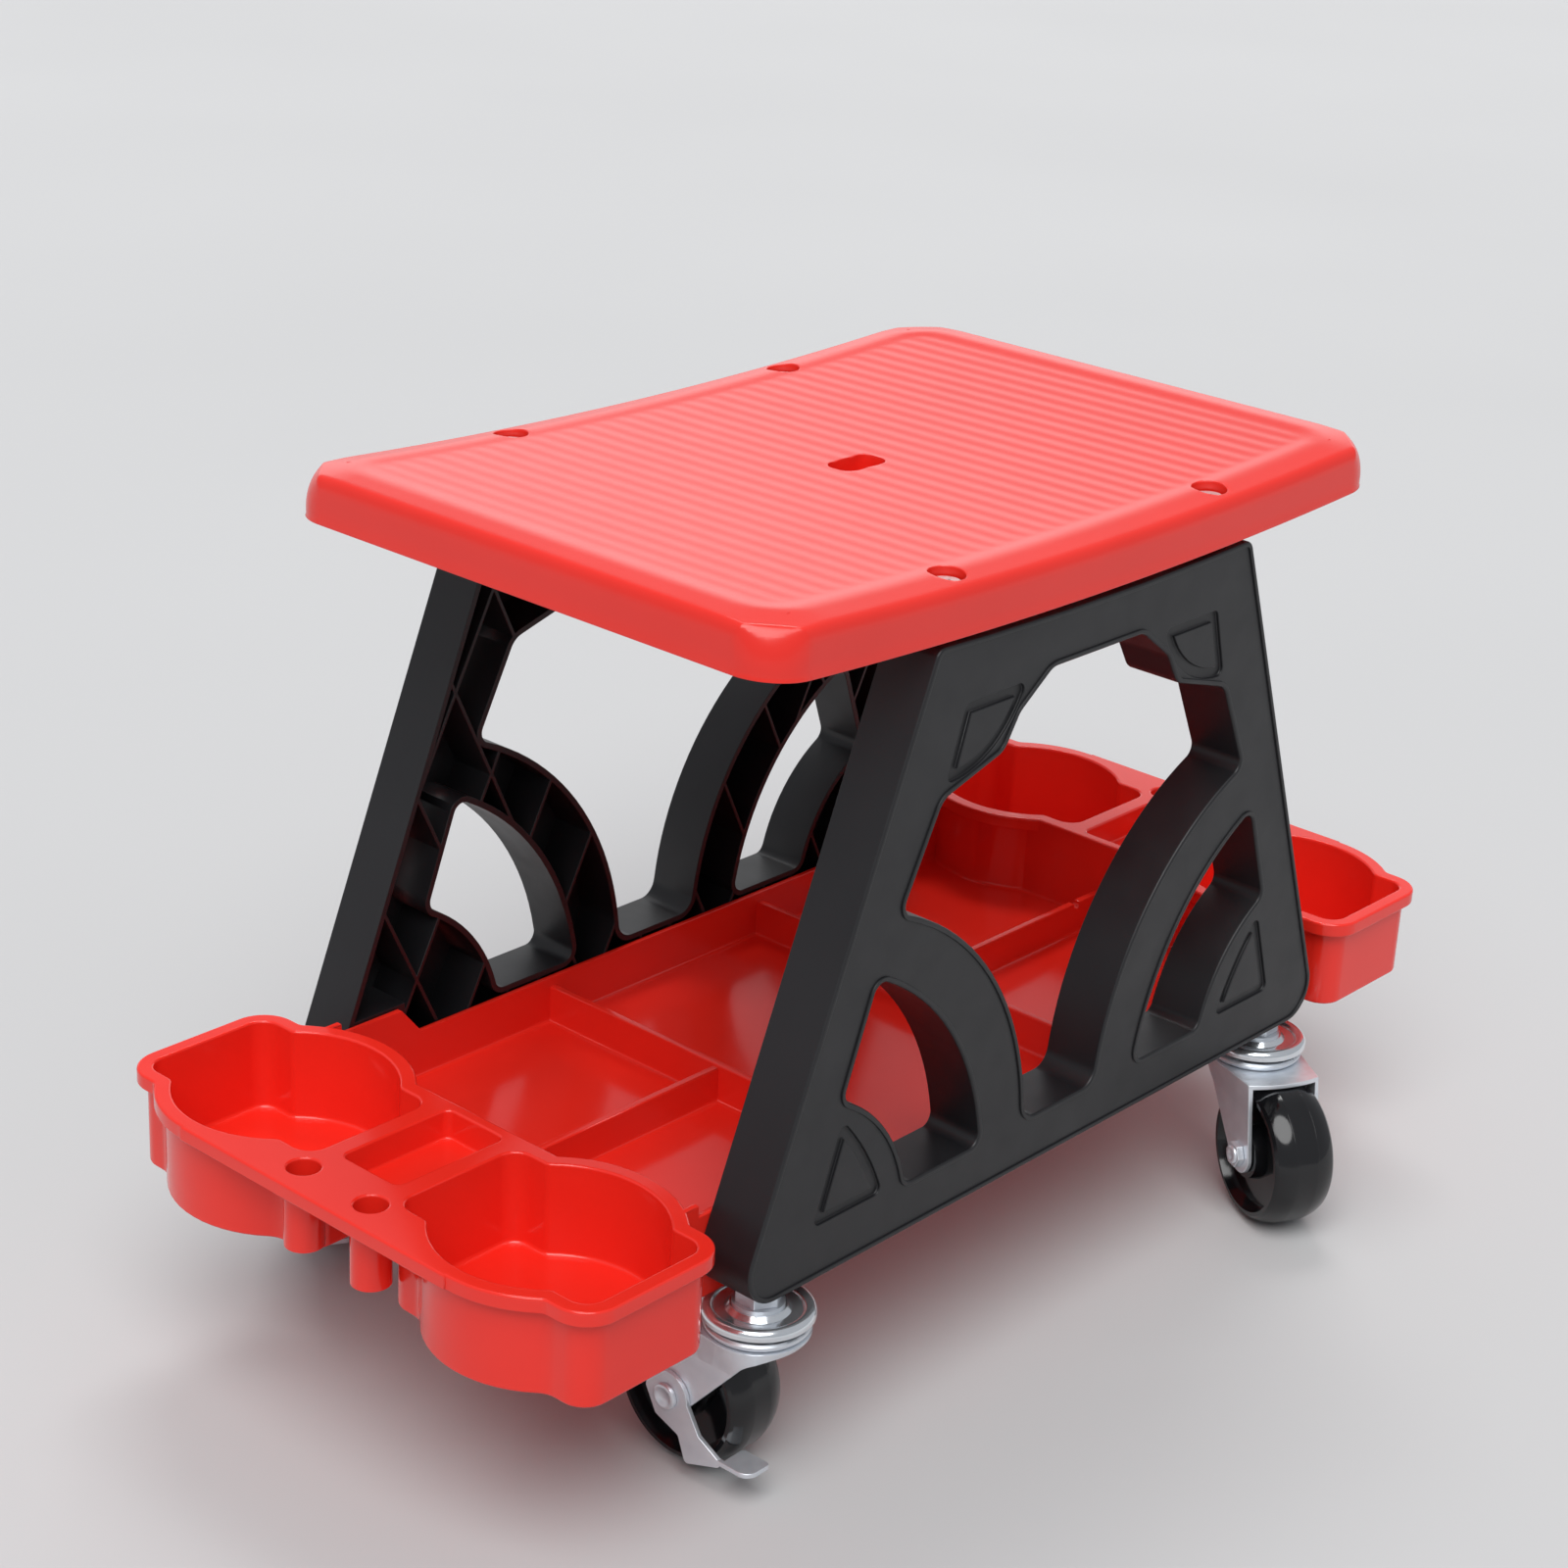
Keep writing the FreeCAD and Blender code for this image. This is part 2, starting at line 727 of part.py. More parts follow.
def pan_screw(name, head_radius, head_height, shank_radius, length, position, rotation):
    """A pan-head screw with its shank along -Z from under the head."""
    head = doc.addObject("Part::Cylinder", name + "_head")
    head.setExpression("Radius", head_radius)
    head.setExpression("Height", head_height)
    head.Placement = FreeCAD.Placement(position, rotation)
    shank = doc.addObject("Part::Cylinder", name + "_shank")
    shank.setExpression("Radius", shank_radius)
    shank.setExpression("Height", length)
    offset = rotation.multVec(V(0, 0, -1)) * size(length.replace("sizes.", ""))
    shank.Placement = FreeCAD.Placement(position + offset, rotation)
    return fuse_of(name, [head, shank])


def build_seat_screws():
    screws = []
    for name, (sx, sy, _, _) in HEADINGS.items():
        seat_point = V(sx * size("seat_screw_x"), sy * FRAME_MID_Y, RIDE + recess_floor())
        screws.append(pan_screw(f"seat_screw_{name}", "sizes.screw_head_radius", "sizes.screw_head_height",
                                "sizes.screw_radius", "sizes.screw_length", seat_point, PLAN_VIEW))
    group = doc.addObject("Part::Compound", "seat_screws")
    group.Label = "seat_screws"
    group.Links = screws
    nodes.append(group)


def build_tray_screws():
    screws = []
    wall_y = FRAME_INNER_Y - size("tray_frame_gap") - size("tray_wall")
    for name, (sx, sy, _, _) in HEADINGS.items():
        rotation = FreeCAD.Rotation(V(1, 0, 0), 90 * sy)
        point = V(sx * tray_screw_x(), sy * wall_y, RIDE + size("tray_screw_z"))
        screws.append(pan_screw(f"tray_screw_{name}", "sizes.tray_screw_head_radius",
                                "sizes.tray_screw_head_height", "sizes.tray_screw_radius",
                                "sizes.tray_screw_length", point, rotation))
    group = doc.addObject("Part::Compound", "tray_screws")
    group.Label = "tray_screws"
    group.Links = screws
    nodes.append(group)


# Tool tray

def bin_outline(side_x, side_y, out, notch):
    """A round bin crossed by a rounded rectangle, with softened notches."""
    x0 = side_x * size("bin_x")
    y0 = side_y * size("bin_y")
    radius = size("bin_radius") + out
    half = size("bin_half_width") + out
    far = size("bin_half_length") + out
    corner = size("bin_corner") + out
    lift = math.sqrt((radius + notch) ** 2 - (half + notch) ** 2)
    angle = math.atan2(lift, half + notch)
    touch = (radius * math.cos(angle), radius * math.sin(angle))
    blend = (half + notch - notch * math.cos(angle / 2), lift - notch * math.sin(angle / 2))
    bend = corner * (1 - math.sqrt(0.5))

    def at(x, y):
        return (x0 + x, y0 + y)

    def quarter(sx, sy):
        """From the lobe's end to the round side, in the given quadrant."""
        return [at(sx * (half - corner), sy * far),
                (at(sx * (half - bend), sy * (far - bend)), at(sx * half, sy * (far - corner))),
                at(sx * half, sy * lift),
                (at(sx * blend[0], sy * blend[1]), at(sx * touch[0], sy * touch[1])),
                (at(sx * radius * math.cos(angle / 2), sy * radius * math.sin(angle / 2)),
                 at(sx * radius, 0))]

    def back(sx, sy):
        """The same stretch the other way, from the round side to the lobe."""
        return [(at(sx * radius * math.cos(angle / 2), sy * radius * math.sin(angle / 2)),
                 at(sx * touch[0], sy * touch[1])),
                (at(sx * blend[0], sy * blend[1]), at(sx * half, sy * lift)),
                at(sx * half, sy * (far - corner)),
                (at(sx * (half - bend), sy * (far - bend)), at(sx * (half - corner), sy * far))]

    steps = quarter(1, 1) + back(1, -1) + quarter(-1, -1) + back(-1, 1)
    return outline(steps[0], *steps[1:])


def all_bins(out, notch):
    return [bin_outline(sx, sy, out, notch) for sx in (-1, 1) for sy in (-1, 1)]


def both_ends(face):
    return [face, mirrored(face)]


def trough_reach():
    """Half width of the trough, just clear of both side frames."""
    return FRAME_INNER_Y - size("tray_frame_gap")


def shape_trough(body):
    """Outer walls of trough and bins, hollowed and trimmed low between the ears."""
    wall = size("tray_wall")
    length = size("trough_half_length")
    trough_y = trough_reach()
    walls = all_bins(wall, size("bin_outer_notch"))
    trough = rectangle(-length, -trough_y, length, trough_y, size("bin_corner"))
    pad(body, "tray_walls", drawn(body, "wall_plan", "XY_Plane", joined([trough] + walls),
                                  "-sizes.tray_drop"), "sizes.deck_height + sizes.tray_drop")
    inner = rectangle(-length + wall, -trough_y + wall, length - wall, trough_y - wall)
    hollow = without(inner, walls)
    pocket(body, "trough", drawn(body, "trough_plan", "XY_Plane", hollow, "sizes.deck_height"),
           "sizes.deck_height + sizes.tray_drop - sizes.tray_wall")
    low = size("trough_wall_height")
    trim_end = length - wall - size("ear_inset")
    high = size("deck_height") + size("overrun")
    trim = outline((-size("ear_start"), low), (size("ear_start"), low),
                   (size("ear_peak"), size("ear_height")), (trim_end, size("ear_height")),
                   (trim_end, high), (-trim_end, high), (-trim_end, size("ear_height")),
                   (-size("ear_peak"), size("ear_height")))
    pocket(body, "trough_trim", drawn(body, "trim_outline", "XZ_Plane", [trim]),
           "sizes.seat_width", midplane=True)


def shape_decks(body):
    """A flat deck about each pair of bins, with a lip turned down at its edge."""
    wall = size("tray_wall")
    length = size("trough_half_length")
    rims = all_bins(size("rim_width"), size("bin_notch"))
    deck_end = rectangle(length - wall, -size("bin_y"), size("deck_half_length"), size("bin_y"))
    deck = joined(rims[:2] + [mirrored(deck_end)]) + joined(rims[2:] + [deck_end])
    pad(body, "deck", drawn(body, "deck_plan", "XY_Plane", deck, "sizes.deck_height - sizes.tray_wall"),
        "sizes.tray_wall")
    lips = []
    for face in deck:
        lips += without(face, [grown(face, -size("lip_wall"))])
    pad(body, "lip", drawn(body, "lip_plan", "XY_Plane", lips, "sizes.deck_height - sizes.lip_height"),
        "sizes.lip_height")


def cup_outline(out):
    """The small cup between two bins, grown by a wall's width."""
    return rectangle(size("cup_start") - out, -size("cup_half_width") - out, size("cup_end") + out,
                     size("cup_half_width") + out, size("cup_corner") + out)


def pen_discs(radius):
    return [disc(sx * size("pen_x"), sy * size("pen_y"), radius) for sx in (-1, 1) for sy in (-1, 1)]


def shape_hollows(body):
    """Bins, cups and pen tubes, each with its own walls."""
    wall = size("tray_wall")
    pad(body, "cup_walls", drawn(body, "cup_wall_plan", "XY_Plane", both_ends(cup_outline(wall)),
                                 "sizes.deck_height - sizes.cup_depth - sizes.tray_wall"),
        "sizes.cup_depth + sizes.tray_wall")
    tubes = pen_discs(size("pen_radius") + size("pen_wall"))
    pad(body, "pen_tubes", drawn(body, "tube_plan", "XY_Plane", tubes,
                                 "sizes.deck_height - sizes.pen_depth - sizes.tray_wall"),
        "sizes.pen_depth + sizes.tray_wall")
    pocket(body, "bins", drawn(body, "bin_plan", "XY_Plane", all_bins(0, size("bin_notch")),
                               "sizes.deck_height"),
           "sizes.deck_height + sizes.tray_drop - sizes.tray_wall")
    pocket(body, "cups", drawn(body, "cup_plan", "XY_Plane", both_ends(cup_outline(0)), "sizes.deck_height"),
           "sizes.cup_depth")
    pens = pen_discs(size("pen_radius"))
    pocket(body, "pen_holes", drawn(body, "pen_plan", "XY_Plane", pens, "sizes.deck_height"),
           "sizes.pen_depth")


def shape_dividers(body):
    """Low walls that part the trough into bays."""
    wall = size("tray_wall")
    trough_y = trough_reach()
    half_divider = size("divider_wall") / 2
    divider = rectangle(size("divider_x") - half_divider, -trough_y + wall / 2,
                        size("divider_x") + half_divider, trough_y - wall / 2)
    pad(body, "dividers", drawn(body, "divider_plan", "XY_Plane", both_ends(divider), "-sizes.tray_drop"),
        "sizes.tray_drop + sizes.divider_height")
    spine = rectangle(size("divider_x"), -half_divider, size("trough_half_length") - wall / 2, half_divider)
    pad(body, "spines", drawn(body, "spine_plan", "XY_Plane", both_ends(spine), "-sizes.tray_drop"),
        "sizes.tray_drop + sizes.spine_height")


def build_tray():
    """One moulding: floor trough, four lobed bins, two end decks, cups and pen tubes."""
    body = new_body("tool_tray", V(0, 0, RIDE))
    shape_trough(body)
    shape_decks(body)
    shape_hollows(body)
    shape_dividers(body)
    bore = size("tray_screw_radius") + size("screw_clearance")
    bores = [disc(sx * tray_screw_x(), size("tray_screw_z"), bore) for sx in (-1, 1)]
    pocket(body, "tray_screw_bores", drawn(body, "tray_bore_plan", "XZ_Plane", bores),
           "sizes.seat_width", midplane=True)
    nodes.append(body)


# Casters: local Z = 0 at the frame's foot, local +X towards the trailing wheel

def washer_top():
    return -size("nut_height")


def race_top():
    return washer_top() - size("washer_height")


def ball_level():
    """Height of the balls' centres, under the upper race's raceway."""
    return (race_top() - size("race_step") - size("race_plate") - size("ball_radius")
            - size("ball_clearance"))


def dish_top():
    return ball_level() - size("ball_radius") - size("ball_clearance")


def dish_bottom():
    return dish_top() - size("dish_height")


def plate_bottom():
    return dish_bottom() - size("fork_plate")


def build_stem(name, place):
    radius = size("stem_radius")
    tip = size("stem_chamfer")
    head_top = plate_bottom() - size("fork_clearance")
    head_low = head_top - size("stem_head_height")
    top = size("stem_height")
    profile = outline((0, head_low), (size("stem_head_radius") - tip, head_low),
                      (size("stem_head_radius"), head_low + tip), (size("stem_head_radius"), head_top),
                      (radius, head_top), (radius, top - tip), (radius - tip, top), (0, top))
    nodes.append(turned(f"caster_stem_{name}", profile, place.Base, place.Rotation))


def hexagon_ring(label, flats, height, bore, position, rotation):
    """A hexagon nut of the given size across its flats, with a plain bore."""
    blank = doc.addObject("Part::Prism", label + "_blank")
    blank.Polygon = 6
    blank.setExpression("Circumradius", f"{flats} / sqrt(3)")
    blank.setExpression("Height", height)
    blank.Placement = FreeCAD.Placement(position, rotation)
    hole = doc.addObject("Part::Cylinder", label + "_bore")
    hole.setExpression("Radius", bore)
    hole.setExpression("Height", height)
    hole.Placement = FreeCAD.Placement(position, rotation)
    return cut_of(label, blank, hole)


def build_stem_nut(name, place):
    nut = hexagon_ring(f"stem_nut_{name}", "sizes.nut_flats", "sizes.nut_height",
                       "sizes.stem_radius + sizes.screw_clearance",
                       place.multVec(V(0, 0, washer_top())), place.Rotation)
    nodes.append(nut)
    bore = size("stem_radius") + size("screw_clearance")
    washer = outline((bore, race_top()), (size("washer_radius"), race_top()),
                     (size("washer_radius"), washer_top()), (bore, washer_top()))
    nodes.append(turned(f"stem_washer_{name}", washer, place.Base, place.Rotation))


def build_upper_race(name, place):
    """A pressed cup: flat hub, ball groove and a convex rolled rim."""
    bore = size("stem_radius") + size("screw_clearance")
    plate = size("race_plate")
    top = race_top()
    low = top - size("race_step")
    ring = size("ball_ring_radius")
    inner = ring - size("ball_radius")
    outer = ring + size("ball_radius")
    hub = inner - size("race_step")
    crest = (outer + size("race_radius")) / 2
    rim = top - size("race_roll")
    flange = top - size("race_flange")
    profile = outline((bore, top), (hub, top), (inner, low), (outer, low),
                      ((crest, top), (size("race_radius"), rim)), (size("race_radius"), flange),
                      (size("race_radius") - plate, flange), (size("race_radius") - plate, rim),
                      ((crest, top - plate), (outer, low - plate)), (inner, low - plate),
                      (hub, top - plate), (bore, top - plate))
    nodes.append(turned(f"upper_race_{name}", profile, place.Base, place.Rotation))


def build_balls(name, place):
    count = int(size("ball_count"))
    balls = []
    for index in range(count):
        angle = 2 * math.pi * index / count
        centre = V(size("ball_ring_radius") * math.cos(angle), size("ball_ring_radius") * math.sin(angle),
                   ball_level())
        ball = doc.addObject("Part::Sphere", f"ball_{name}_{index}")
        ball.setExpression("Radius", "sizes.ball_radius")
        ball.Placement = FreeCAD.Placement(place.multVec(centre), place.Rotation)
        balls.append(ball)
    group = doc.addObject("Part::Compound", f"bearing_balls_{name}")
    group.Label = f"bearing_balls_{name}"
    group.Links = balls
    nodes.append(group)


def fork_side():
    return size("fork_inner_width") / 2 + size("fork_plate")


def fork_leg_outline():
    """Side view of a leg: sloped leading edge, round tip, leaning trailing edge."""
    x_axle = size("caster_trail")
    z_axle = -size("axle_drop")
    tip = size("fork_tip_radius")
    touch = leading_touch()
    return outline((-size("fork_front"), dish_bottom()), (-size("fork_front"), plate_bottom()), touch,
                   ((x_axle, z_axle - tip), (x_axle + tip, z_axle)), (size("fork_rear"), dish_bottom()))


def leading_touch():
    """Where the leg's leading edge runs into its round tip."""
    x_axle = size("caster_trail")
    z_axle = -size("axle_drop")
    tip = size("fork_tip_radius")
    run = x_axle + size("fork_front")
    drop = plate_bottom() - z_axle
    reach = math.hypot(run, drop)
    heading = -math.atan2(drop, run) - math.asin(tip / reach)
    length = math.sqrt(reach ** 2 - tip ** 2)
    return (-size("fork_front") + length * math.cos(heading), plate_bottom() + length * math.sin(heading))


def leading_trim():
    """Side view of what is cut away before the leading edge, arched at its top."""
    touch = leading_touch()
    start = (-size("fork_front"), plate_bottom())
    level = plate_bottom() - size("fork_skirt")
    share = size("fork_skirt") / (plate_bottom() - touch[1])
    knee = (start[0] + (touch[0] - start[0]) * share, level)
    far = -size("dish_radius") - size("fork_arch") - size("overrun")
    low = -size("axle_drop") - size("fork_tip_radius") - size("overrun")
    face = outline((far, level), knee, touch, (touch[0], low), (far, low))
    return soften(face, [(knee, size("fork_arch"))])


def shoulder_plan(inset, rear, bow):
    """The fork's top from above: round about the kingpin, narrowing back to the legs."""
    radius = size("dish_radius") - inset
    half = fork_side() - inset
    x_rear = size("fork_rear")
    distance = math.hypot(x_rear, half)
    angle = math.atan2(half, x_rear) + math.acos(radius / distance)
    touch = (radius * math.cos(angle), radius * math.sin(angle))
    back = (rear, half) if not bow else ((rear + bow, 0), (rear, half))
    return outline((rear, -half), back, (x_rear, half), touch, ((-radius, 0), (touch[0], -touch[1])),
                   (x_rear, -half))


def leg_plan(inset, rear):
    """The same outline lower down, where the shoulders have become two straight legs."""
    half = fork_side() - inset
    front = -size("fork_front")
    middle = size("fork_rear") / 2
    return outline((rear, -half), (rear, half), (middle, half), (front, half), (front, -half),
                   (middle, -half))


def add_loft(body, kind, label, top, bottom, top_level, bottom_level):
    """A straight-sided loft between two level outlines, added or cut away."""
    loft = body.newObject(kind, label)
    loft.Profile = drawn(body, label + "_top", "XY_Plane", [top], top_level)
    loft.Sections = [drawn(body, label + "_bottom", "XY_Plane", [bottom], bottom_level)]
    loft.Ruled = True
    return loft


def build_fork(name, place):
    """Race dish, top plate, flared shoulders and two legs pressed from one sheet."""
    bore = size("stem_radius") + size("running_fit")
    ring = size("ball_ring_radius")
    ball = size("ball_radius")
    lip = ball / 2
    foot = size("dish_foot_radius")
    rim = dish_top() + lip
    roll = ((size("dish_radius") + foot) / 2 + lip / 2, dish_bottom() + lip / 2)
    label = f"caster_fork_{name}"
    dish = outline((bore, plate_bottom()), (foot, plate_bottom()), (foot, dish_bottom()),
                   (roll, (size("dish_radius"), rim - lip)), (size("dish_radius") - lip, rim),
                   (ring + 2 * ball, rim), (ring + ball, dish_top()), (ring - ball, dish_top()),
                   (ring - 2 * ball, dish_top() - lip), (bore, dish_top() - lip))
    body = turned(label, dish, place.Base, place.Rotation)
    rear = size("fork_rear")
    beyond = rear + size("fork_rear_bow") + size("overrun")
    lean = (size("caster_trail") + size("fork_tip_radius") - rear) / (dish_bottom() + size("axle_drop"))
    low_rear = rear + lean * size("fork_shoulder")
    level = str(dish_bottom())
    low_level = f"{dish_bottom()} - sizes.fork_shoulder"
    add_loft(body, "PartDesign::AdditiveLoft", label + "_shoulders",
             shoulder_plan(0, rear, size("fork_rear_bow")), leg_plan(0, low_rear), level, low_level)
    width = "sizes.fork_inner_width + 2 * sizes.fork_plate"
    pad(body, label + "_legs", drawn(body, label + "_leg_plan", "XZ_Plane", [fork_leg_outline()]),
        width, midplane=True)
    add_loft(body, "PartDesign::SubtractiveLoft", label + "_hollow",
             shoulder_plan(size("fork_plate"), beyond, 0), leg_plan(size("fork_plate"), beyond),
             str(plate_bottom()), low_level)
    slot_top = dish_bottom() - size("fork_shoulder")
    slot = rectangle(-beyond, -size("axle_drop") - size("fork_tip_radius") * 2, beyond, slot_top)
    pocket(body, label + "_slot", drawn(body, label + "_slot_plan", "XZ_Plane", [slot]),
           "sizes.fork_inner_width", midplane=True)
    pocket(body, label + "_leading_edge", drawn(body, label + "_leading_plan", "XZ_Plane", [leading_trim()]),
           "4 * sizes.dish_radius", midplane=True)
    kingpin = drawn(body, label + "_kingpin_plan", "XY_Plane", [disc(0, 0, bore)], "-sizes.axle_drop")
    pocket(body, label + "_kingpin_bore", kingpin, "sizes.axle_drop", reversed_way=True)
    axle = disc(size("caster_trail"), -size("axle_drop"), size("axle_radius") + size("screw_clearance"))
    pocket(body, label + "_axle_bore", drawn(body, label + "_axle_plan", "XZ_Plane", [axle]),
           "2 * sizes.fork_inner_width", midplane=True)
    nodes.append(body)


def axle_place(place, y=0.0):
    """A placement on the axle, its Z along the axle towards local +Y."""
    position = place.multVec(V(size("caster_trail"), y, -size("axle_drop")))
    return FreeCAD.Placement(position, place.Rotation * FreeCAD.Rotation(V(1, 0, 0), -90))


def lever_allowance(braked):
    return size("lever_plate") + 2 * size("running_fit") if braked else 0.0


def build_axle(name, place, braked):
    """A low-headed bolt through both legs, with a thin hexagon nut at its end."""
    side = fork_side()
    head_low = side + lever_allowance(braked) + size("running_fit")
    radius = size("axle_radius")
    head = size("axle_head_radius")
    chamfer = size("axle_chamfer")
    end = -side - size("axle_nut_height") - size("axle_end")
    top = head_low + size("axle_head_height")
    profile = outline((0, end), (radius - chamfer, end), (radius, end + chamfer), (radius, head_low),
                      (head, head_low), (head, top - chamfer), (head - chamfer, top), (0, top))
    spot = axle_place(place)
    nodes.append(turned(f"axle_bolt_{name}", profile, spot.Base, spot.Rotation))
    nut_spot = axle_place(place, -side - size("axle_nut_height") - size("running_fit"))
    nodes.append(hexagon_ring(f"axle_nut_{name}", "sizes.axle_nut_flats", "sizes.axle_nut_height",
                              "sizes.axle_radius + sizes.screw_clearance", nut_spot.Base,
                              nut_spot.Rotation))


def build_bushing(name, place):
    half = size("fork_inner_width") / 2 - size("running_fit")
    bore = size("axle_radius") + size("screw_clearance")
    profile = rectangle(bore, -half, size("bushing_radius"), half)
    spot = axle_place(place)
    nodes.append(turned(f"axle_bushing_{name}", profile, spot.Base, spot.Rotation))


def build_wheel(name, place):
    """A crowned wheel with a dished web and a hub that turns on the bushing."""
    half = size("wheel_width") / 2
    radius = size("wheel_radius")
    edge = size("wheel_edge")
    shoulder = radius - size("wheel_crown")
    bore = size("bushing_radius") + size("running_fit")
    hub_half = size("fork_inner_width") / 2 - size("hub_clearance")
    web = size("wheel_web") / 2
    rim = size("wheel_rim_radius")
    hub = size("hub_radius")
    near_side = [(bore, -hub_half), (hub, -hub_half), (hub + edge, -web), (rim - edge, -web),
                 (rim + edge, -half), (shoulder - edge, -half)]
    far_side = [(r, -z) for r, z in reversed(near_side)]
    tread = size("wheel_tread") / 2
    rise_share = math.sin(math.pi / 4)
    middle = (shoulder + (radius - shoulder) * rise_share, (half - edge + tread) / 2)
    crown = [(shoulder, edge - half), ((middle[0], -middle[1]), (radius, -tread)), (radius, tread),
             (middle, (shoulder, half - edge))]
    profile = outline(near_side[0], *near_side[1:], *crown, *far_side)
    spot = axle_place(place)
    nodes.append(turned(f"wheel_{name}", profile, spot.Base, spot.Rotation))


def lever_point(reach, drop):
    """A point of the lever, so far before and below the axle."""
    return (size("caster_trail") - size(reach), -size("axle_drop") - size(drop))


def lever_outline():
    """Side view of the brake lever: a boss on the axle and an arm to the toe and heel."""
    x_axle = size("caster_trail")
    z_axle = -size("axle_drop")
    boss = size("lever_boss_radius")
    neck = lever_point("lever_neck_reach", "lever_neck_drop")
    toe = lever_point("lever_toe_reach", "lever_toe_drop")
    heel = lever_point("lever_heel_reach", "lever_heel_drop")
    waist = (heel[0] + size("lever_plate") * 2, neck[1] - size("lever_plate") * 2)
    back = (x_axle + boss / 2, z_axle - size("lever_back_drop"))
    face = outline((x_axle + boss, z_axle), ((x_axle, z_axle + boss), (x_axle - boss, z_axle)),
                   neck, toe, heel, waist, back)
    rounds = [(point, size("lever_plate")) for point in (toe, heel, waist, back)]
    return soften(face, rounds)


def lever_foot_outline():
    """The pedal tab from above, bent across before the wheel."""
    toe_x = lever_point("lever_toe_reach", "lever_toe_drop")[0]
    neck_x = (toe_x + lever_point("lever_neck_reach", "lever_neck_drop")[0]) / 2
    outer = fork_side() + size("running_fit") + size("lever_plate")
    front = toe_x - size("lever_foot_length")
    inner = outer - size("lever_foot_width")
    back = toe_x + size("lever_plate")
    plate_inner = outer - size("lever_plate")
    face = outline((front, inner), (back, inner), (back, plate_inner), (neck_x, plate_inner),
                   (neck_x, outer), (front, outer))
    small = size("lever_inner_round")
    return soften(face, [((front, outer), size("lever_foot_round")), ((front, inner), small),
                         ((back, inner), small)])


def build_lever(name, place):
    """A side plate turning on the axle bolt, with a foot bent across before the wheel."""
    label = f"brake_lever_{name}"
    body = new_body(label, place.Base, place.Rotation)
    start = "-(sizes.fork_inner_width / 2 + sizes.fork_plate + sizes.running_fit)"
    pad(body, label + "_plate", drawn(body, label + "_plate_plan", "XZ_Plane", [lever_outline()], start),
        "sizes.lever_plate", reversed_way=True)
    foot = drawn(body, label + "_foot_plan", "XY_Plane", [lever_foot_outline()],
                 "-(sizes.axle_drop + sizes.lever_toe_drop)")
    pad(body, label + "_foot", foot, "sizes.lever_plate")
    bore = disc(size("caster_trail"), -size("axle_drop"), size("axle_radius") + size("running_fit"))
    pocket(body, label + "_bore", drawn(body, label + "_bore_plan", "XZ_Plane", [bore]),
           "4 * sizes.fork_inner_width", midplane=True)
    nodes.append(body)


def build_caster(name, side_x, side_y, heading, braked):
    position = V(side_x * size("caster_x"), side_y * FRAME_MID_Y, RIDE)
    place = FreeCAD.Placement(position, FreeCAD.Rotation(UP, heading))
    build_stem(name, place)
    build_stem_nut(name, place)
    build_upper_race(name, place)
    build_balls(name, place)
    build_fork(name, place)
    build_axle(name, place, braked)
    build_bushing(name, place)
    build_wheel(name, place)
    if braked:
        build_lever(name, place)


def build_all():
    build_frame("side_frame_near", V(0, -FRAME_OUTER_Y, RIDE), FreeCAD.Rotation())
    build_frame("side_frame_far", V(0, FRAME_OUTER_Y, RIDE), FreeCAD.Rotation(UP, 180))
    build_seat()
    build_seat_screws()
    build_tray()
    build_tray_screws()
    for name, (side_x, side_y, heading, braked) in HEADINGS.items():
        build_caster(name, side_x, side_y, heading, braked)


def check_document():
    """Stops the build where any feature failed or any sub-part is not sound."""
    for item in doc.Objects:
        if "Invalid" in item.State or "Error" in item.State:
            raise RuntimeError(f"{item.Name} failed: {item.State}")
    for node in nodes:
        if node.Shape.isNull() or not node.Shape.isValid() or not node.Shape.Solids:
            raise RuntimeError(f"{node.Label} has no valid solid")


def write_parts():
    os.makedirs("parts", exist_ok=True)
    for node in nodes:
        node.Shape.exportStep(os.path.join("parts", node.Label + ".step"))
        box = node.Shape.BoundBox
        print(f"{node.Label:28s} solids {len(node.Shape.Solids):3d} volume {node.Shape.Volume:12.1f}"
              f"  x {box.XMin:8.1f} {box.XMax:8.1f}  y {box.YMin:8.1f} {box.YMax:8.1f}"
              f"  z {box.ZMin:8.1f} {box.ZMax:8.1f}")


build_all()
doc.recompute()
check_document()
write_parts()
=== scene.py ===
# %% [markdown]
# # A rolling creeper seat, dressed in Blender
#
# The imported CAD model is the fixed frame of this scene. It says where every
# piece is and how it moves. Blender adds what the frame leaves out: rounded
# moulded edges, the seat's soft border, recesses in the screws, seams on the
# wheels, plastics, zinc plate, light and a camera.

# %% Load the frame
import json
import math

import bmesh
import bpy
from mathutils import Matrix, Vector


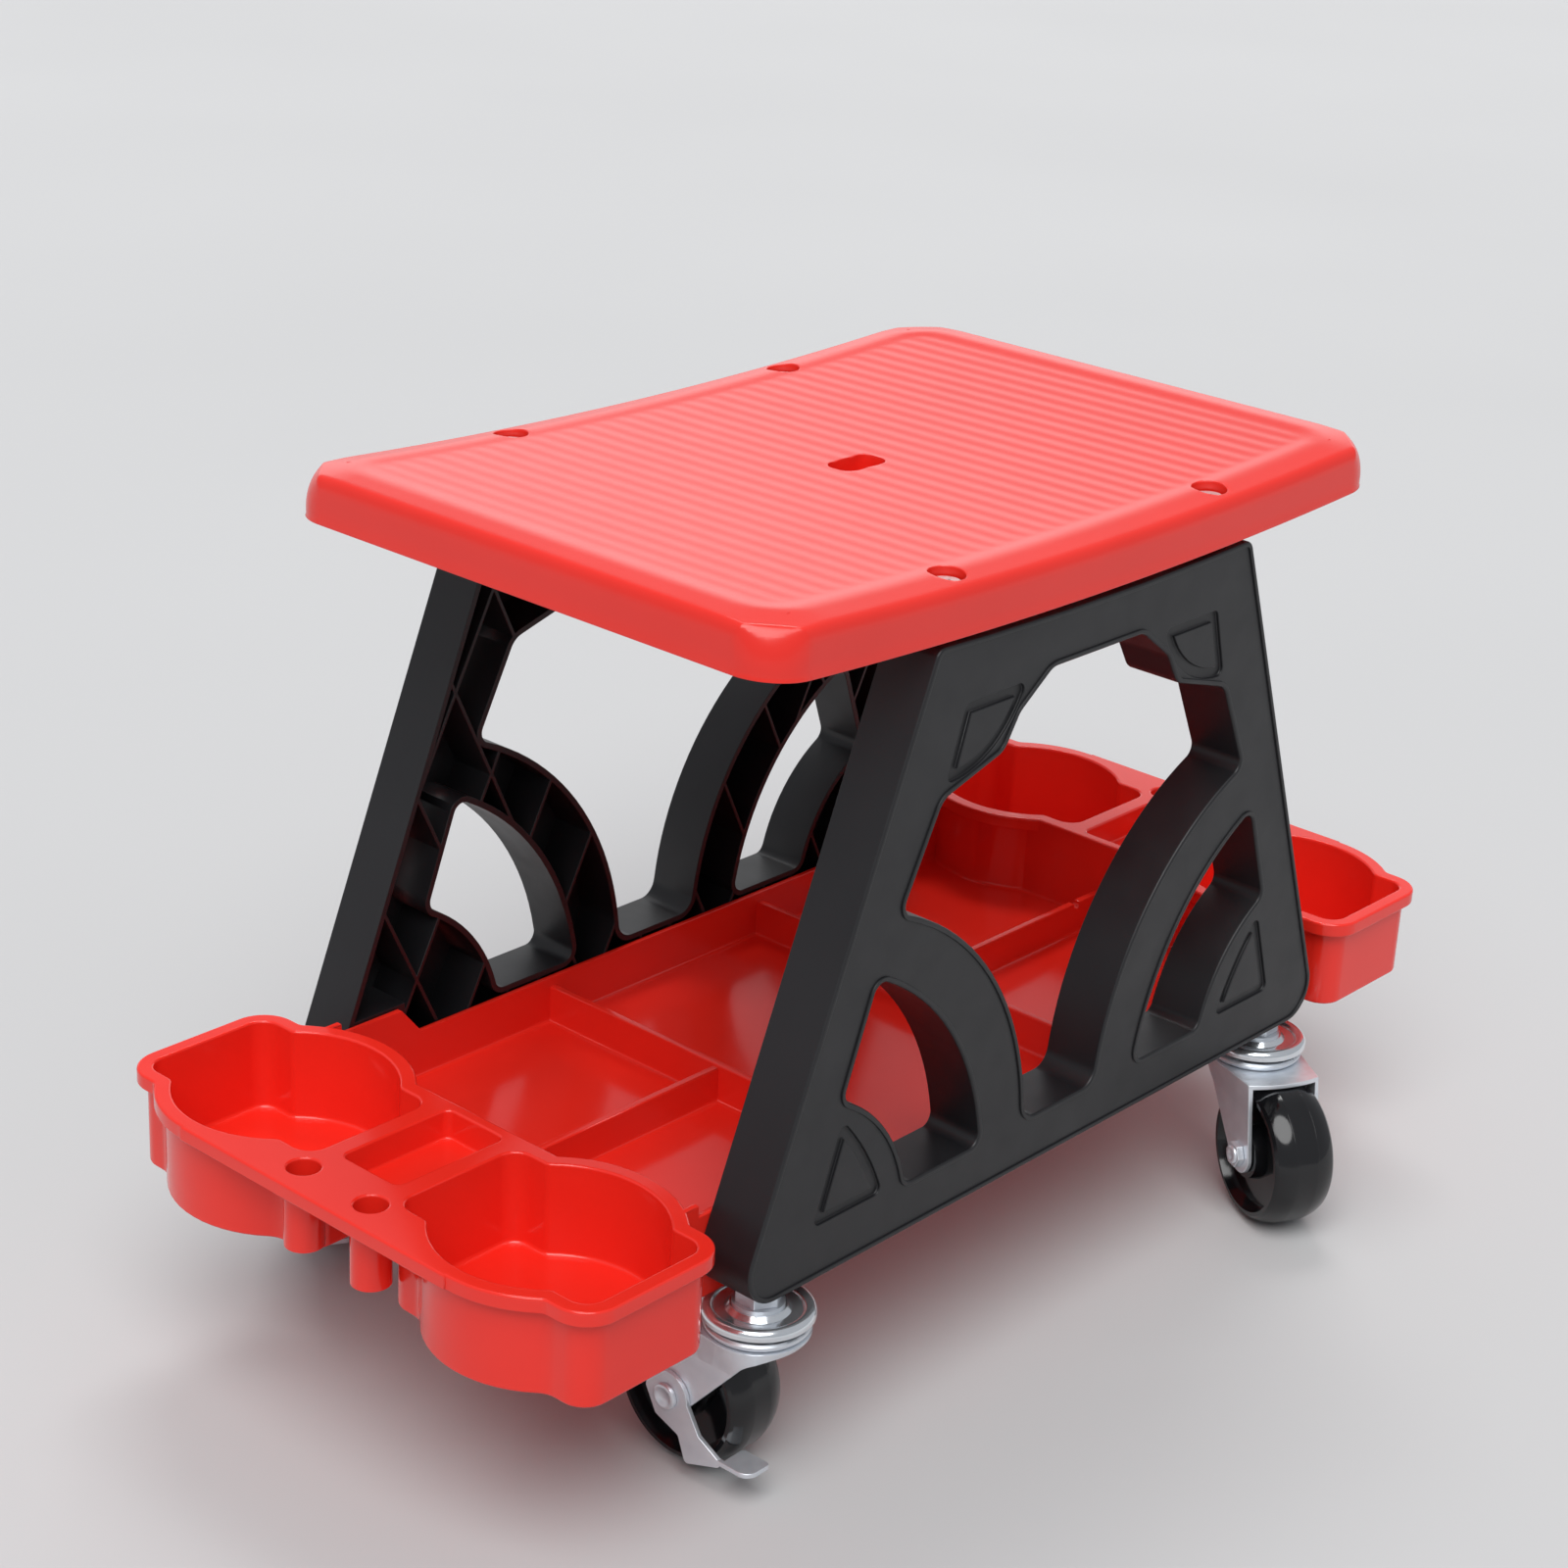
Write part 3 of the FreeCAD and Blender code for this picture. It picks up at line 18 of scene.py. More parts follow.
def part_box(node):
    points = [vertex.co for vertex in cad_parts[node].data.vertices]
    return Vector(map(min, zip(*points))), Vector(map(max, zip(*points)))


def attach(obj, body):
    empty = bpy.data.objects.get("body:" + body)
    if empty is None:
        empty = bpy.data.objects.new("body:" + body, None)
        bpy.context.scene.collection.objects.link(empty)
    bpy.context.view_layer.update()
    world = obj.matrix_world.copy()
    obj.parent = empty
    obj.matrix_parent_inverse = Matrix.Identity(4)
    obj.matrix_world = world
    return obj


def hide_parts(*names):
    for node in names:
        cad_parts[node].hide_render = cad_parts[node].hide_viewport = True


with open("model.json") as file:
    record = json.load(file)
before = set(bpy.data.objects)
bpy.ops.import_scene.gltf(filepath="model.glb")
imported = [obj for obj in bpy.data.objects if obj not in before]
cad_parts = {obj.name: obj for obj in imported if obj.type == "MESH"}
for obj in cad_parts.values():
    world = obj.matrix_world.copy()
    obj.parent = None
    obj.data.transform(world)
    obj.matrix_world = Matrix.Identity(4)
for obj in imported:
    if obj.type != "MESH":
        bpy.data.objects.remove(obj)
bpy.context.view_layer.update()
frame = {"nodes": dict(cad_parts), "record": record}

nodes = frame["nodes"]
body_of = {node: body for body, members in frame["record"]["behaviour"]["bodies"].items()
           for node in members}

# %% [markdown]
# ## The camera
#
# The photograph looks down on the seat from the front left, with a long lens.
# The camera's place and its three axes were found by matching the edges of the
# seat and the frames, and the middles of the holes in the seat and the tray.
# They hold a roll of about three degrees: upright things lean to the right.

# %% Camera
MILLI = 0.001
LENS_MM = 72.45
SENSOR_MM = 36.0
CAMERA_AT = Vector((-0.9171, -0.7681, 0.6926))
CAMERA_RIGHT = Vector((0.66994, -0.74089, 0.04761))
CAMERA_UP = Vector((0.25248, 0.28767, 0.92385))

camera_data = bpy.data.cameras.new("photo_camera")
camera_data.lens = LENS_MM
camera_data.sensor_width = SENSOR_MM
camera = bpy.data.objects.new("photo_camera", camera_data)
bpy.context.scene.collection.objects.link(camera)
axes = Matrix((CAMERA_RIGHT, CAMERA_UP, CAMERA_RIGHT.cross(CAMERA_UP))).transposed()
camera.matrix_world = Matrix.Translation(CAMERA_AT) @ axes.to_4x4()
bpy.context.scene.camera = camera
bpy.context.scene.view_settings.view_transform = "Standard"
print("camera at", tuple(round(c, 3) for c in CAMERA_AT))

# %% [markdown]
# ## The studio
#
# A pale floor runs to the edge of the picture on every side. A wide, soft sun
# and an even pale world light it, because both are as bright far away as they
# are near, and the floor then has one even tone. Two large softboxes are there
# for what they do to gloss: long soft highlights along the rounded edges.

# %% Floor, world and lamps
FLOOR_SIZE = 24.0
FLOOR_GREY = 0.55
FLOOR_CLOUD = 1.03
FLOOR_ROUGHNESS, FLOOR_SPECULAR = 0.8, 0.2
MIDDLE_LOW, MIDDLE_HIGH = 0.3, 0.7
WORLD_TINT, WORLD_STRENGTH = (0.93, 0.95, 1.0, 1), 0.44
SUBJECT_HEIGHT = 0.2


def node_material(name):
    """A new material with its Principled node, node list and link list."""
    material = bpy.data.materials.new(name)
    material.use_nodes = True
    shader = material.node_tree.nodes["Principled BSDF"]
    return material, shader, material.node_tree.nodes, material.node_tree.links


def place_on_object(tree_nodes):
    """Texture coordinates fixed to the object, in metres."""
    return tree_nodes.new("ShaderNodeTexCoord").outputs["Object"]


def noise(tree_nodes, links, vector, scale, detail):
    texture = tree_nodes.new("ShaderNodeTexNoise")
    texture.inputs["Scale"].default_value = scale
    texture.inputs["Detail"].default_value = detail
    links.new(vector, texture.inputs["Vector"])
    return texture.outputs["Fac"]


def graded(tree_nodes, links, factor, low, high):
    """The factor's middle range turned into a value between low and high."""
    spread = tree_nodes.new("ShaderNodeMapRange")
    spread.inputs["From Min"].default_value = MIDDLE_LOW
    spread.inputs["From Max"].default_value = MIDDLE_HIGH
    spread.inputs["To Min"].default_value = low
    spread.inputs["To Max"].default_value = high
    links.new(factor, spread.inputs["Value"])
    return spread.outputs["Result"]


def mixed(tree_nodes, links, factor, first, second):
    """The factor's middle range turned into a colour between two."""
    ramp = tree_nodes.new("ShaderNodeValToRGB")
    ramp.color_ramp.elements[0].position = MIDDLE_LOW
    ramp.color_ramp.elements[1].position = MIDDLE_HIGH
    ramp.color_ramp.elements[0].color = (*first, 1)
    ramp.color_ramp.elements[1].color = (*second, 1)
    links.new(factor, ramp.inputs["Fac"])
    return ramp.outputs["Color"]


def bumped(tree_nodes, links, shader, height, depth, strength):
    bump = tree_nodes.new("ShaderNodeBump")
    bump.inputs["Strength"].default_value = strength
    bump.inputs["Distance"].default_value = depth
    links.new(height, bump.inputs["Height"])
    links.new(bump.outputs["Normal"], shader.inputs["Normal"])


floor_paint, shader, tree, links = node_material("studio_floor")
cloud = noise(tree, links, place_on_object(tree), 1.3, 2.0)
grey = mixed(tree, links, cloud, (FLOOR_GREY,) * 3, (FLOOR_GREY * FLOOR_CLOUD,) * 3)
links.new(grey, shader.inputs["Base Color"])
shader.inputs["Roughness"].default_value = FLOOR_ROUGHNESS
shader.inputs["Specular IOR Level"].default_value = FLOOR_SPECULAR

floor_mesh = bmesh.new()
bmesh.ops.create_grid(floor_mesh, x_segments=2, y_segments=2, size=FLOOR_SIZE / 2)
floor_data = bpy.data.meshes.new("floor")
floor_mesh.to_mesh(floor_data)
floor_mesh.free()
floor_data.materials.append(floor_paint)
floor = bpy.data.objects.new("floor", floor_data)
bpy.context.scene.collection.objects.link(floor)

world = bpy.data.worlds.new("studio")
world.use_nodes = True
backdrop = world.node_tree.nodes["Background"]
backdrop.inputs["Color"].default_value = WORLD_TINT
backdrop.inputs["Strength"].default_value = WORLD_STRENGTH
bpy.context.scene.world = world


def aim(lamp, place, target):
    lamp.location = place
    lamp.rotation_euler = (Vector(target) - Vector(place)).to_track_quat("-Z", "Y").to_euler()


def sun(name, strength, angle, place):
    data = bpy.data.lights.new(name, "SUN")
    data.energy = strength
    data.angle = math.radians(angle)
    lamp = bpy.data.objects.new(name, data)
    bpy.context.scene.collection.objects.link(lamp)
    aim(lamp, place, (0, 0, 0))


def softbox(name, power, width, height, place):
    data = bpy.data.lights.new(name, "AREA")
    data.shape = "RECTANGLE"
    data.size = width
    data.size_y = height
    data.energy = power
    lamp = bpy.data.objects.new(name, data)
    bpy.context.scene.collection.objects.link(lamp)
    aim(lamp, place, (0, 0, SUBJECT_HEIGHT))


sun("overhead_sun", 2.2, 45, (-0.5, -0.4, 1.0))
softbox("back_box", 650, 6.0, 4.0, (6.0, 5.2, 14.0))
softbox("low_box", 380, 24.0, 6.2, (14.0, 12.2, 4.3))

# %% [markdown]
# ## Finishes
#
# Every finish reads its pattern from Object coordinates, so that it stays on
# its piece when the piece moves. A moulded plastic isn't one flat colour: its
# pigment clouds a little, its gloss changes where it cooled last, and its skin
# has a grain that only the highlights show.

# %% Plastics
def plastic(name, dark, light, rough_low, rough_high, grain, depth):
    """Two colours, two roughnesses, and the skin's grain in 1/m and depth in metres."""
    material, shader, tree, links = node_material(name)
    where = place_on_object(tree)
    pigment = noise(tree, links, where, 18, 3.0)
    links.new(mixed(tree, links, pigment, dark, light), shader.inputs["Base Color"])
    gloss = noise(tree, links, where, 65, 5.0)
    links.new(graded(tree, links, gloss, rough_low, rough_high), shader.inputs["Roughness"])
    skin = noise(tree, links, where, grain, 2.0)
    bumped(tree, links, shader, skin, depth, 0.35)
    return material


seat_red = plastic("seat_red", (0.80, 0.024, 0.014), (0.83, 0.026, 0.016),
                   0.24, 0.26, 350, 0.00002)
tray_red = plastic("tray_red", (0.83, 0.024, 0.013), (0.86, 0.028, 0.016),
                   0.13, 0.17, 350, 0.00002)
frame_black = plastic("frame_black", (0.006, 0.006, 0.0075), (0.009, 0.009, 0.0105),
                      0.42, 0.50, 600, 0.00004)
wheel_black = plastic("wheel_black", (0.004, 0.004, 0.005), (0.007, 0.007, 0.008),
                      0.09, 0.16, 500, 0.00003)
bushing_nylon = plastic("bushing_nylon", (0.62, 0.60, 0.55), (0.70, 0.68, 0.62),
                        0.35, 0.5, 900, 0.00005)
print("plastics made")

# %% [markdown]
# Most steel parts are zinc plated. Plate is a little milky, so it is less than
# wholly metallic here, while the upper bearing race is smoother and brighter. The
# screws and stems are duller steel, and the balls are polished.

# %% Metals
def metal(name, dark, light, rough_low, rough_high, grain, depth, metallic=1.0):
    """Two colours, two roughnesses, and the plating's grain in 1/m and depth in metres."""
    material, shader, tree, links = node_material(name)
    where = place_on_object(tree)
    cloud = noise(tree, links, where, grain, 6.0)
    links.new(mixed(tree, links, cloud, dark, light), shader.inputs["Base Color"])
    fine = noise(tree, links, where, grain * 4, 3.0)
    links.new(graded(tree, links, fine, rough_low, rough_high), shader.inputs["Roughness"])
    bumped(tree, links, shader, fine, depth, 0.4)
    shader.inputs["Metallic"].default_value = metallic
    return material


zinc_plate = metal("zinc_plate", (0.70, 0.74, 0.79), (0.80, 0.83, 0.87),
                   0.34, 0.44, 90, 0.00001, metallic=0.72)
screw_steel = metal("screw_steel", (0.74, 0.75, 0.76), (0.82, 0.82, 0.82),
                    0.4, 0.5, 160, 0.00001)
ball_steel = metal("ball_steel", (0.60, 0.60, 0.60), (0.70, 0.70, 0.70),
                   0.08, 0.14, 400, 0.00004)
race_zinc = metal("race_zinc", (0.72, 0.76, 0.80), (0.82, 0.85, 0.88),
                  0.13, 0.20, 90, 0.00001, metallic=0.9)
print("metals made")

# %% [markdown]
# ## Dressing the frame's own nodes
#
# A node whose shape is right keeps it and only takes a finish. The list below
# goes from the first words of a node's name to its material. The first match
# counts, so the seat's screws stand before the seat.

# %% Finishes on the CAD nodes
FINISHES = {
    "seat_screws": screw_steel, "seat": seat_red, "side_frame": frame_black, "tool_tray": tray_red,
    "tray_screws": screw_steel, "caster_stem": screw_steel, "stem_nut": zinc_plate,
    "stem_washer": zinc_plate, "upper_race": race_zinc, "bearing_balls": ball_steel,
    "caster_fork": zinc_plate, "axle_bolt": zinc_plate, "axle_nut": zinc_plate,
    "axle_bushing": bushing_nylon, "wheel": wheel_black, "brake_lever": zinc_plate,
}


def finish_for(node):
    return next(material for start, material in FINISHES.items() if node.startswith(start))


for name, node in nodes.items():
    node.data.materials.clear()
    node.data.materials.append(finish_for(name))
print("finishes on", len(nodes), "nodes")

# %% [markdown]
# ## Rounded moulded edges
#
# A moulding never has a knife edge: the tool is polished round and the plastic
# shrinks from its corners. The CAD mesh is left as it is. A copy is merged, its
# flat triangles are dissolved into whole faces, and the edges are found by where
# they lie and how they turn, so that each kind gets its own round. A Weighted
# Normal modifier then keeps the flat faces flat in the light.

# %% Finding and rounding edges
JOIN, FLAT_DEGREES = 0.02, 1.0


def merged_copy(node, reach=JOIN):
    """A bmesh of the node's shape with joined vertices and whole flat faces.

    A reach over JOIN also joins the shortest edges, once the faces are whole.
    """
    work = bmesh.new()
    work.from_mesh(nodes[node].data)
    for distance in sorted({JOIN, reach}):
        bmesh.ops.remove_doubles(work, verts=work.verts, dist=distance * MILLI)
        bmesh.ops.dissolve_limit(work, angle_limit=math.radians(FLAT_DEGREES), verts=work.verts,
                                 edges=work.edges, use_dissolve_boundaries=False)
    work.normal_update()
    return work


def sharp_edges(work, test, bulging=True, angle=25.0):
    """Edges that turn by more than an angle, out or in, and pass a test of their ends."""
    found = []
    for edge in work.edges:
        if len(edge.link_faces) != 2:
            continue
        turn = edge.calc_face_angle_signed(0.0)
        if abs(turn) > math.radians(angle) and (turn > 0) == bulging and test(edge):
            found.append(edge)
    return found


def at_level(axis, level, tolerance=0.06):
    """A test for edges that lie in one plane, at a level in mm."""
    def test(edge):
        return all(abs(v.co[axis] / MILLI - level) < tolerance for v in edge.verts)
    return test


def round_off(work, edges, width, segments=3):
    """A round of a width in mm along some edges."""
    if edges:
        bmesh.ops.bevel(work, geom=edges, offset=width * MILLI, offset_type="OFFSET",
                        affect="EDGES", segments=segments, profile=0.5, material=-1,
                        clamp_overlap=False, loop_slide=True)


def piece(name, work, material, body, smooth_angle=35.0, weighted=False):
    """A finished object from a bmesh, riding on its body."""
    data = bpy.data.meshes.new(name)
    work.to_mesh(data)
    work.free()
    data.materials.append(material)
    data.shade_smooth()
    made = bpy.data.objects.new(name, data)
    bpy.context.scene.collection.objects.link(made)
    data.set_sharp_from_angle(angle=math.radians(smooth_angle))
    if weighted:
        even = made.modifiers.new("flat_faces", "WEIGHTED_NORMAL")
        even.keep_sharp = True
    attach(made, body)
    return made


print("edge helpers ready")

# %% [markdown]
# ## Side frames
#
# The outer face has a narrow raised rim round it, and a sunk channel round each
# corner badge. The rim's outer edge has the largest round, which catches a thin
# line of light all along the frame. The channel's walls are rounded top and
# bottom until it is a soft gutter. The ribs inside only lose their knife edges.

# %% Frames
RIM_STEP, CHANNEL_DEPTH = 0.8, 1.4
FRAME_JOIN, DEEP_WALL = 0.3, 5
RIM_ROUND, RIM_INNER_ROUND, FACE_ROUND, CHANNEL_ROUND, RIB_ROUND = 1.1, 0.35, 0.4, 0.5, 0.25


def wall_reach(edge, axis):
    """How far the deepest face beside an edge runs along an axis, in mm."""
    reaches = []
    for face in edge.link_faces:
        along = [v.co[axis] for v in face.verts]
        reaches.append((max(along) - min(along)) / MILLI)
    return max(reaches)


for node in ("side_frame_near", "side_frame_far"):
    low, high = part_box(node)
    side = 1 if low[1] + high[1] > 0 else -1
    outer_y = (high[1] if side > 0 else low[1]) / MILLI
    inner_y = (low[1] if side > 0 else high[1]) / MILLI
    work = merged_copy(node, FRAME_JOIN)
    face_y = outer_y - side * RIM_STEP
    channel_y = face_y - side * CHANNEL_DEPTH
    rim = sharp_edges(work, at_level(1, outer_y))
    round_off(work, [e for e in rim if wall_reach(e, 1) > DEEP_WALL], RIM_ROUND)
    rim = sharp_edges(work, at_level(1, outer_y))
    round_off(work, [e for e in rim if wall_reach(e, 1) < DEEP_WALL], RIM_INNER_ROUND, 2)
    round_off(work, sharp_edges(work, at_level(1, face_y)), FACE_ROUND)
    round_off(work, sharp_edges(work, at_level(1, channel_y), bulging=False), CHANNEL_ROUND)
    round_off(work, sharp_edges(work, at_level(1, inner_y)), RIB_ROUND, 2)
    made = piece(node + "_moulded", work, frame_black, body_of[node],
                 weighted=True)
    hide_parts(node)
    print(made.name, "faces", len(made.data.polygons))

# %% [markdown]
# ## The seat
#
# The seat is one moulding, and nearly all of its look lies in its border. From
# the field outwards there is a low bead, a slope down, a soft round into the
# skirt, and at each corner a flat facet with a crisp upper edge. The field has
# shallow waves across it. All of this is a height over the plan, so the plan is
# cut into strips where the height bends, and each vertex is then lifted to it.

# %% The seat's measures, in mm
SEAT_HALF_X = 185.0
SEAT_HALF_Y = 124.5
SEAT_CORNER = 18.6
SEAT_TOP = 339.5
SEAT_FOOT = 319.2
SEAT_DIP = 6.4
SADDLE_RADIUS = (SEAT_HALF_X ** 2 + SEAT_DIP ** 2) / (2 * SEAT_DIP)
BEAD_OUT, BEAD_CREST, BEAD_IN = 10.0, 15.0, 22.0
BEAD_HEIGHT, BORDER_SLOPE = 0.4, 0.17
FIELD_CORNER = 31.8
EDGE_RUN, EDGE_DROP = 3.2, 6.0
SEAT_WALL = 2.4
FACET_LINE, FACET_SLOPE, FACET_DROP, FACET_BLEND = 13.8, 0.32, 12.0, 0.4
WAVE_PITCH, WAVE_DEPTH, WAVE_CUTS = 9.9, 0.09, 6
WAVE_START, WAVE_FADE = 1.0, 3.0
SCREW_X, SCREW_Y, HOLE = 80.6, 112.0, 7.4
GRIP_X, GRIP_Y, GRIP_CORNER = 12.9, 7.15, 5.4
CORNERS = [(sx, sy) for sx in (-1, 1) for sy in (-1, 1)]
HOLE_CENTRES = [(0.0, 0.0)] + [(sx * SCREW_X, sy * SCREW_Y) for sx, sy in CORNERS]


def saddle(x, radius=SADDLE_RADIUS):
    """How far the seat has risen at a distance x from its middle."""
    return radius - math.sqrt(radius ** 2 - x ** 2)


def depth_inside(x, y, corner):
    """Distance in from the edge of the seat's plan, with corners this round."""
    over_x = abs(x) - (SEAT_HALF_X - corner)
    over_y = abs(y) - (SEAT_HALF_Y - corner)
    outside = math.hypot(max(over_x, 0), max(over_y, 0))
    return corner - outside - min(max(over_x, over_y), 0)


def bead(depth):
    """The border's height: a slope, a low crest, and down to the field."""
    if depth >= BEAD_IN:
        return 0.0
    if depth >= BEAD_CREST:
        share = (depth - BEAD_CREST) / (BEAD_IN - BEAD_CREST)
        return BEAD_HEIGHT * (0.5 + 0.5 * math.cos(math.pi * share))
    run = BEAD_CREST - BEAD_OUT
    if depth >= BEAD_OUT:
        return BEAD_HEIGHT - BORDER_SLOPE / (2 * run) * (BEAD_CREST - depth) ** 2
    return BEAD_HEIGHT - BORDER_SLOPE * run / 2 - BORDER_SLOPE * (BEAD_OUT - depth)


def quarter_round(share, drop):
    """The drop along a round that starts flat and ends upright."""
    return drop * (1 - math.sqrt(max(0.0, 1 - share ** 2)))


def facet(x, y):
    """The drop over a corner's facet, from its crisp upper line to the outline."""
    inward = (SEAT_HALF_X - abs(x) + SEAT_HALF_Y - abs(y)) / math.sqrt(2)
    past = FACET_LINE - inward
    if past <= -FACET_BLEND:
        return 0.0
    run = past if past > FACET_BLEND else (past + FACET_BLEND) ** 2 / (4 * FACET_BLEND)
    left = max(depth_inside(x, y, SEAT_CORNER), 0.0)
    share = min(max(past, 0.0) / max(past + left, 0.01), 1.0)
    return FACET_SLOPE * run + quarter_round(share, FACET_DROP)


def seat_height(x, y):
    """Height of the seat's upper surface over a point of its plan."""
    share = min(max((EDGE_RUN - depth_inside(x, y, SEAT_CORNER)) / EDGE_RUN, 0.0), 1.0)
    drop = max(quarter_round(share, EDGE_DROP), facet(x, y))
    depth = depth_inside(x, y, FIELD_CORNER)
    fade = min(max((depth - BEAD_IN + WAVE_START) / WAVE_FADE, 0.0), 1.0)
    wave = WAVE_DEPTH * fade * math.cos(2 * math.pi * x / WAVE_PITCH)
    return SEAT_TOP + saddle(x) + bead(depth) - drop + wave


print("seat edge", round(seat_height(0, SEAT_HALF_Y), 2), "field", round(seat_height(0, 0), 2))

# %% [markdown]
# The plan starts as a rounded rectangle, made from one grid square by a bevel
# of its corners. Narrow rings are set in from its outline, for the round that
# ends the seat. The holes for the screws and for the fingers are cut while it is
# still a flat block, where a Boolean is sure of itself, and only the block's
# upper faces go on.

# %% The seat's plan with its holes
RINGS = (0.04, 0.1, 0.16, 0.25, 0.35, 0.5, 0.6, 0.75, 0.95, 1.3, 1.5, 2.0)
CUT_REACH, NEARLY_ROUND, FACING_UP = 3, 0.999, 0.5


def mesh_object(name, work):
    data = bpy.data.meshes.new(name)
    work.to_mesh(data)
    work.free()
    made = bpy.data.objects.new(name, data)
    bpy.context.scene.collection.objects.link(made)
    return made


def rounded_block(half_x, half_y, corner, low, high, at=(0, 0), segments=12):
    """A block with upright rounded corners, between two levels."""
    work = bmesh.new()
    bmesh.ops.create_grid(work, x_segments=1, y_segments=1, size=1)
    bmesh.ops.scale(work, vec=(half_x, half_y, 1), verts=work.verts)
    bmesh.ops.bevel(work, geom=work.verts[:], offset=corner, offset_type="OFFSET",
                    affect="VERTICES", segments=segments, profile=0.5, material=-1)
    bmesh.ops.translate(work, vec=(*at, low), verts=work.verts)
    grown = bmesh.ops.extrude_face_region(work, geom=work.faces[:])
    top = [v for v in grown["geom"] if isinstance(v, bmesh.types.BMVert)]
    bmesh.ops.translate(work, vec=(0, 0, high - low), verts=top)
    bmesh.ops.recalc_face_normals(work, faces=work.faces)
    return work


def cut_away(target, cutters):
    """The target's mesh less each cutter, as a new bmesh; the helpers are removed."""
    for cutter in cutters:
        boolean = target.modifiers.new("cut", "BOOLEAN")
        boolean.operation = "DIFFERENCE"
        boolean.solver = "EXACT"
        boolean.object = cutter
    graph = bpy.context.evaluated_depsgraph_get()
    data = bpy.data.meshes.new_from_object(target.evaluated_get(graph))
    work = bmesh.new()
    work.from_mesh(data)
    bpy.data.meshes.remove(data)
    for helper in [target] + cutters:
        bpy.data.objects.remove(helper)
    return work


grip = rounded_block(GRIP_X, GRIP_Y, GRIP_CORNER, -CUT_REACH, CUT_REACH)
cutters = [mesh_object("grip_cutter", grip)]
for side_x, side_y in CORNERS:
    drill = rounded_block(HOLE, HOLE, HOLE * NEARLY_ROUND, -CUT_REACH, CUT_REACH,
                          (side_x * SCREW_X, side_y * SCREW_Y))
    cutters.append(mesh_object("screw_cutter", drill))
plan = rounded_block(SEAT_HALF_X, SEAT_HALF_Y, SEAT_CORNER, -1, 0, segments=18)
upper = max(plan.faces, key=lambda f: f.calc_center_median().z)
for step in RINGS:
    bmesh.ops.inset_region(plan, faces=[upper], thickness=step, use_boundary=True,
                           use_even_offset=True)
blank = mesh_object("seat_blank", plan)
seat_work = cut_away(blank, cutters)
under = [f for f in seat_work.faces if f.normal.z < FACING_UP]
bmesh.ops.delete(seat_work, geom=under, context="FACES")
print("plan faces", len(seat_work.faces), "edges", len(seat_work.edges))

# %% [markdown]
# Now the plan is cut along every line where the height bends: near the edges,
# along the bead, across each corner's facet, and six times in each wave. More
# cuts beside the hole for the fingers keep the faces there small.

# %% Cut into strips and lift
EDGE_CUTS = (10, 11, 12.5, 14, 15.5, 17, 18.5, 20, 21.5, 23, 26, 30)
FACET_CUTS = (-0.4, -0.2, 0.0, 0.2, 0.4, 1.0, 2.0, 3.2, 4.6)
GRIP_CUTS = (0.6, 1.6, 4, 12, 40)
CORNER_REACH = (SEAT_HALF_X + SEAT_HALF_Y) / math.sqrt(2)


def slice_along(work, normal, distance):
    """Cut every face that crosses a plane, without parting the mesh."""
    bmesh.ops.bisect_plane(work, geom=work.verts[:] + work.edges[:] + work.faces[:], dist=1e-5,
                           plane_co=Vector(normal) * distance, plane_no=normal)


for sign in (-1, 1):
    for cut in EDGE_CUTS:
        slice_along(seat_work, (0, sign, 0), SEAT_HALF_Y - cut)
        if cut < BEAD_IN:
            slice_along(seat_work, (sign, 0, 0), SEAT_HALF_X - cut)
for corner in reversed(CORNERS):
    for past in FACET_CUTS:
        slice_along(seat_work, Vector((*corner, 0)).normalized(), CORNER_REACH - FACET_LINE + past)
for sign in (-1, 1):
    for beyond in GRIP_CUTS:
        slice_along(seat_work, (0, sign, 0), GRIP_Y + beyond)
reach = int((SEAT_HALF_X - BEAD_IN) / WAVE_PITCH * WAVE_CUTS)
for step in range(-reach, reach + 1):
    slice_along(seat_work, (1, 0, 0), step * WAVE_PITCH / WAVE_CUTS)
for vert in seat_work.verts:
    vert.co.z = seat_height(vert.co.x, vert.co.y)
print("seat top faces", len(seat_work.faces))

# %% [markdown]
# The open edges are drawn down: the outer one becomes the skirt with a small
# lip at its foot, and the edge of each hole rolls in before it goes down. A step
# of the skirt is the share of its height that is left and the way out; a step of
# a hole is the way in and the way down. The ribs, bosses and hollows underneath
# are kept from a merged copy of the CAD seat.

# %% Skirt, rolled holes and the underside
SKIRT_STEPS = ((0.5, 0.0), (0.26, 0.0), (0.4, 0.25), (0.0, -0.15))
HOLE_STEPS = ((0.22, 0.06), (0.16, 0.2), (0.06, 0.35), (0.0, 3.0))
TOP_SKIN, SIDE_SKIN, UPWARD, ON_OUTLINE = 4.5, 1.0, 0.1, 0.5
UNDER_FACET = FACET_LINE + 18.0


def drawn_edge(work, edges, move):
    """Extrude open edges, put each new vertex where move() says, give the new edges."""
    grown = bmesh.ops.extrude_edge_only(work, edges=edges)["geom"]
    for vert in (g for g in grown if isinstance(g, bmesh.types.BMVert)):
        vert.co = move(vert.co)
    return [g for g in grown if isinstance(g, bmesh.types.BMEdge) and g.is_boundary]


def skirt_foot(x):
    return SEAT_FOOT + saddle(x, SADDLE_RADIUS + SEAT_TOP - SEAT_FOOT)


def pushed_out(co, amount):
    """A point of the outline moved out from the seat's plan by an amount."""
    inner = Vector((min(max(co.x, SEAT_CORNER - SEAT_HALF_X), SEAT_HALF_X - SEAT_CORNER),
                    min(max(co.y, SEAT_CORNER - SEAT_HALF_Y), SEAT_HALF_Y - SEAT_CORNER)))
    away = (Vector((co.x, co.y)) - inner)
    away.length += amount
    return inner + away


